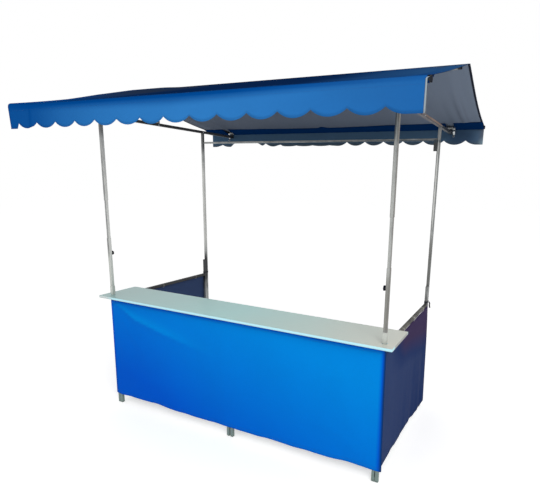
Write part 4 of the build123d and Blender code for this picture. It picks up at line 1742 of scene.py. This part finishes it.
@dataclass
class SteelFrame:
    """The tubes' finishes, with weld beads, bolts and the clips on the rear eave tube."""

    palette: Palette
    beads: GeometryTree
    bolts: GeometryTree
    bead_size: float = 0.0042
    bolt_height: float = 2.024
    clip_place: float = 1.024
    clip_width: float = 0.014
    clip_thickness: float = 0.0015

    def dress(self) -> None:
        """Gives every steel and plastic node its finish; a later row takes a node over."""
        palette = self.palette
        posts = ("front_post", "rear_post", "ridge", "front_eave", "rear_eave", "rear_tie")
        for start, finish in (
            (("front_frame", "side_frame", "frame_hinges"), palette.base),
            (posts, palette.post),
            (("clamp_knob", "tube_end_plugs"), palette.black),
            (("foot_caps",), palette.grey_plastic),
            # painted shade: the left rails take the near-black finish
            (("roof_rail_left", "side_frame_left_top_rail"), palette.rail_left),
            (("roof_rail_right",), palette.rail_right),
            (("side_frame_right_top_rail",), palette.rail_worn),
        ):
            dress(start, finish)

    def build_welds(self) -> None:
        """Builds beads round each end of the base frame's rails."""
        lines = []
        for node in sorted(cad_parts):
            if node.endswith("_rail") and node.startswith(("front_frame", "side_frame")):
                low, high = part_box(node)
                along = 0 if node.startswith("front_frame") else 1
                lines += [self._square(low, high, along, end[along]) for end in (low, high)]
        values = {"Material": self.palette.base, "Size": self.bead_size}
        settle(self.beads.run("weld_beads", lines_mesh("welds", lines), values))

    @staticmethod
    def _square(low: Vector, high: Vector, along: int, end: float) -> Array:
        """The outline of a rail's end, as a closed line.

        Args:
            low: The rail's low corner.
            high: Its high corner.
            along: The axis that it runs along.
            end: Where its end is.

        Returns:
            The line's points.
        """
        corners = np.full((5, 3), end)
        across = 1 - along
        corners[:, across] = [(low, high)[i][across] for i in (0, 1, 1, 0, 0)]
        corners[:, 2] = [(low, high)[i].z for i in (0, 0, 1, 1, 0)]
        return corners

    def build_bolts(self) -> None:
        """Builds the bolts through the roof rails."""
        places, facing = [], []
        for name in ("left", "right"):
            low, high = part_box(f"roof_rail_{name}")
            for y in (-0.5, 0.0, 0.5):
                places += [(face, y, self.bolt_height) for face in (low.x, high.x)]
                facing += [(-1.0, 0.0, 0.0), (1.0, 0.0, 0.0)]
        mesh, values = points_mesh("bolts", places, facing), {"Material": self.palette.chrome}
        settle(self.bolts.run("frame_bolts", mesh, values))

    def build_clips(self) -> None:
        """Builds the bright strip clips that hold the rear eave tube to the rails."""
        (y, z), radius = tube_axis("rear_eave_tube")
        radius += 0.0012
        path = [
            (0.0, y + radius * math.cos(a), z + radius * math.sin(a))
            for a in np.radians(np.linspace(112, 250, 12))
        ]
        tail = (
            (-0.010, -0.026), (-0.006, -0.036), (-0.001, -0.048), (-0.004, -0.060), (-0.014, -0.066)
        )
        line = np.array(path + [(0.0, y + dy, z + dz) for dy, dz in tail])
        size = (self.clip_width, self.clip_thickness)
        meshes = [
            strip_mesh("clip", line + np.array([x, 0, 0]), (1.0, 0.0, 0.0), *size)
            for x in (-self.clip_place, self.clip_place)
        ]
        add_piece("eave_clips", meshes, [self.palette.chrome])

    def build(self) -> None:
        """Dresses the frame and builds its fittings."""
        self.dress()
        self.build_welds()
        self.build_bolts()
        self.build_clips()


@dataclass
class RearTies:
    """The tapes that tie the side skirts' rear ends to the posts."""

    palette: Palette
    width: float = 0.014
    thickness: float = 0.0012
    gap: float = 0.0016
    height: float = 0.813
    bend: float = 0.004

    def build(self) -> None:
        """Builds a band round post and leg, and its tail, on each side."""
        bands = []
        for name, side in (("left", -1), ("right", 1)):
            leg_low, leg_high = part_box(f"side_frame_{name}_rear_leg")
            post_low, post_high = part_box(f"rear_post_{name}_lower")
            y0, y1 = leg_low.y - self.gap, post_high.y + self.gap
            x0 = min(leg_low.x, post_low.x) - self.gap
            x1 = max(leg_high.x, post_high.x) + self.gap
            z = self.height
            loop = [(x0, y0, z), (x1, y0, z + 0.001), (x1, y1, z + 0.002), (x0, y1, z - 0.001)]
            path = self._rounded(np.array(loop))
            bands.append(strip_mesh("band", path, (0.0, 0.0, 1.0), self.width, self.thickness))
            outer = x1 if side > 0 else x0
            tail = [
                (outer + side * 0.004, y1 - 0.006, z),
                (outer + side * 0.009, y1 - 0.002, z - 0.012),
                (outer + side * 0.008, y1 + 0.001, z - 0.030),
                (outer + side * 0.012, y1 + 0.002, z - 0.048),
            ]
            bands.append(strip_mesh("tail", np.array(tail), (0.8, 0.6, 0.0), 0.010, 0.0016))
        add_piece("skirt_tie_tapes", bands, [self.palette.tape], ["skirt_ties"])

    def _rounded(self, points: Array) -> Array:
        """A closed loop through points, with its corners cut twice.

        Args:
            points: The loop's corners.

        Returns:
            The loop's points, the first again at its end.
        """
        out = []
        for i, here in enumerate(points):
            before, after = points[i - 1], points[(i + 1) % len(points)]
            a = here + (before - here) / np.linalg.norm(before - here) * self.bend
            b = here + (after - here) / np.linalg.norm(after - here) * self.bend
            out += [a, (a + b) / 2 * 0.5 + here * 0.5, b]
        return np.array(out + out[:1])


@dataclass
class Studio:
    """The pale floor, the soft light and the camera at the photograph's place."""

    floor_size: float = 60.0
    camera_place: Point = (1.6267, -2.6343, 1.6324)
    yaw: float = math.radians(24.7209)
    pitch: float = math.radians(-11.9967)
    roll: float = math.radians(1.6202)
    focal_px: float = 443.8539
    centre_px: Place = (324.7704, 277.1257)
    image_px: tuple[int, int] = (540, 500)
    sensor_mm: float = 36.0
    ambient: float = 0.62
    floor_level: float = 0.93
    light_size: float = 3.0
    light_aim: Point = (0.0, 0.0, 1.0)

    def build_camera(self) -> None:
        """Builds the camera from its place, its turn and the picture's centre."""
        data = bpy.data.cameras.new("photo_camera")
        data.sensor_width = self.sensor_mm
        data.lens = self.sensor_mm * self.focal_px / self.image_px[0]
        data.shift_x = (self.image_px[0] / 2 - self.centre_px[0]) / self.image_px[0]
        data.shift_y = (self.centre_px[1] - self.image_px[1] / 2) / self.image_px[0]
        level = Vector((math.cos(self.yaw), math.sin(self.yaw), 0.0))
        ahead = Vector((-math.sin(self.yaw), math.cos(self.yaw), 0.0))
        forward = ahead * math.cos(self.pitch) + Vector((0.0, 0.0, math.sin(self.pitch)))
        up = level.cross(forward)
        right = level * math.cos(self.roll) + up * math.sin(self.roll)
        top = up * math.cos(self.roll) - level * math.sin(self.roll)
        turned = Matrix((right, top, -forward)).transposed().to_4x4()
        bpy.context.scene.camera = new_object("photo_camera", data)
        bpy.context.scene.camera.matrix_world = Matrix.Translation(self.camera_place) @ turned

    @staticmethod
    def _seen(tree: ShaderTree) -> Wire:
        """1 for rays from the camera and for those that glossy or clear surfaces send."""
        path = tree.node("ShaderNodeLightPath")
        most = path.math("MAXIMUM", path["Is Glossy Ray"], path["Is Transmission Ray"])
        return path.math("MAXIMUM", path["Is Camera Ray"], most)

    def build_world(self) -> None:
        """Builds an even pale sky that shows as white."""
        world = bpy.data.worlds.new("studio")
        bpy.context.scene.world = world
        tree = ShaderTree(world)
        strength = self._seen(tree) * (1.0 - self.ambient) + self.ambient
        sky = tree.node("ShaderNodeBackground", None, {"Color": WHITE, "Strength": strength})
        tree.node("ShaderNodeOutputWorld", None, {"Surface": sky})

    def build_floor(self) -> None:
        """Builds the floor, which shows as white but keeps the stall's shadow."""
        half, level = self.floor_size / 2, self.floor_level
        corners = [(-half, -half, 0), (half, -half, 0), (half, half, 0), (-half, half, 0)]
        mesh = new_mesh("floor", corners, [(0, 1, 2, 3)])
        tree = ShaderTree(bpy.data.materials.new("pale_floor"))
        pale = tree.node("ShaderNodeBsdfDiffuse", None, {"Color": (level, level, level, 1.0)})
        inputs = {"Color": WHITE, "Strength": 1.0 - level * self.ambient}
        glow = tree.node("ShaderNodeEmission", None, inputs)
        both = tree.node("ShaderNodeAddShader", None, {0: pale, 1: glow})
        mixed = tree.node("ShaderNodeMixShader", None, {0: self._seen(tree), 1: pale, 2: both})
        tree.node("ShaderNodeOutputMaterial", None, {"Surface": mixed})
        mesh.materials.append(tree.owner)
        new_object("floor", mesh)

    def build_light(self, name: str, place: Point, watts: float) -> None:
        """Builds one soft area light.

        Args:
            name: The light's name.
            place: Where it stands; it faces the middle of the stall.
            watts: Its power.
        """
        light = new_object(name, bpy.data.lights.new(name, "AREA"))
        light.data.energy, light.data.size = watts, self.light_size
        light.location = place
        direction = Vector(self.light_aim) - Vector(place)
        light.rotation_euler = direction.to_track_quat("-Z", "Y").to_euler()

    def build(self) -> None:
        """Builds camera, sky, floor and lights, and sets the view transform."""
        bpy.context.scene.view_settings.view_transform = "Standard"
        self.build_camera()
        self.build_world()
        self.build_floor()
        self.build_light("key", (4.0, -4.4, 4.4), 165.0)
        self.build_light("fill", (-3.4, -5.0, 2.6), 38.0)


def main() -> None:
    """Builds the stall's looks in order."""
    logging.basicConfig(level=logging.INFO, format="%(name)s %(message)s")
    Studio().build()
    palette = make_palette()
    stitches = stitch_tree()
    SteelFrame(palette, weld_tree(), bolt_tree()).build()
    Counter(palette).build()
    Skirts(palette, stitches, loop_tree()).build()
    RearTies(palette).build()
    Canopy(palette, stitches).build()


if __name__ == "__main__":
    main()
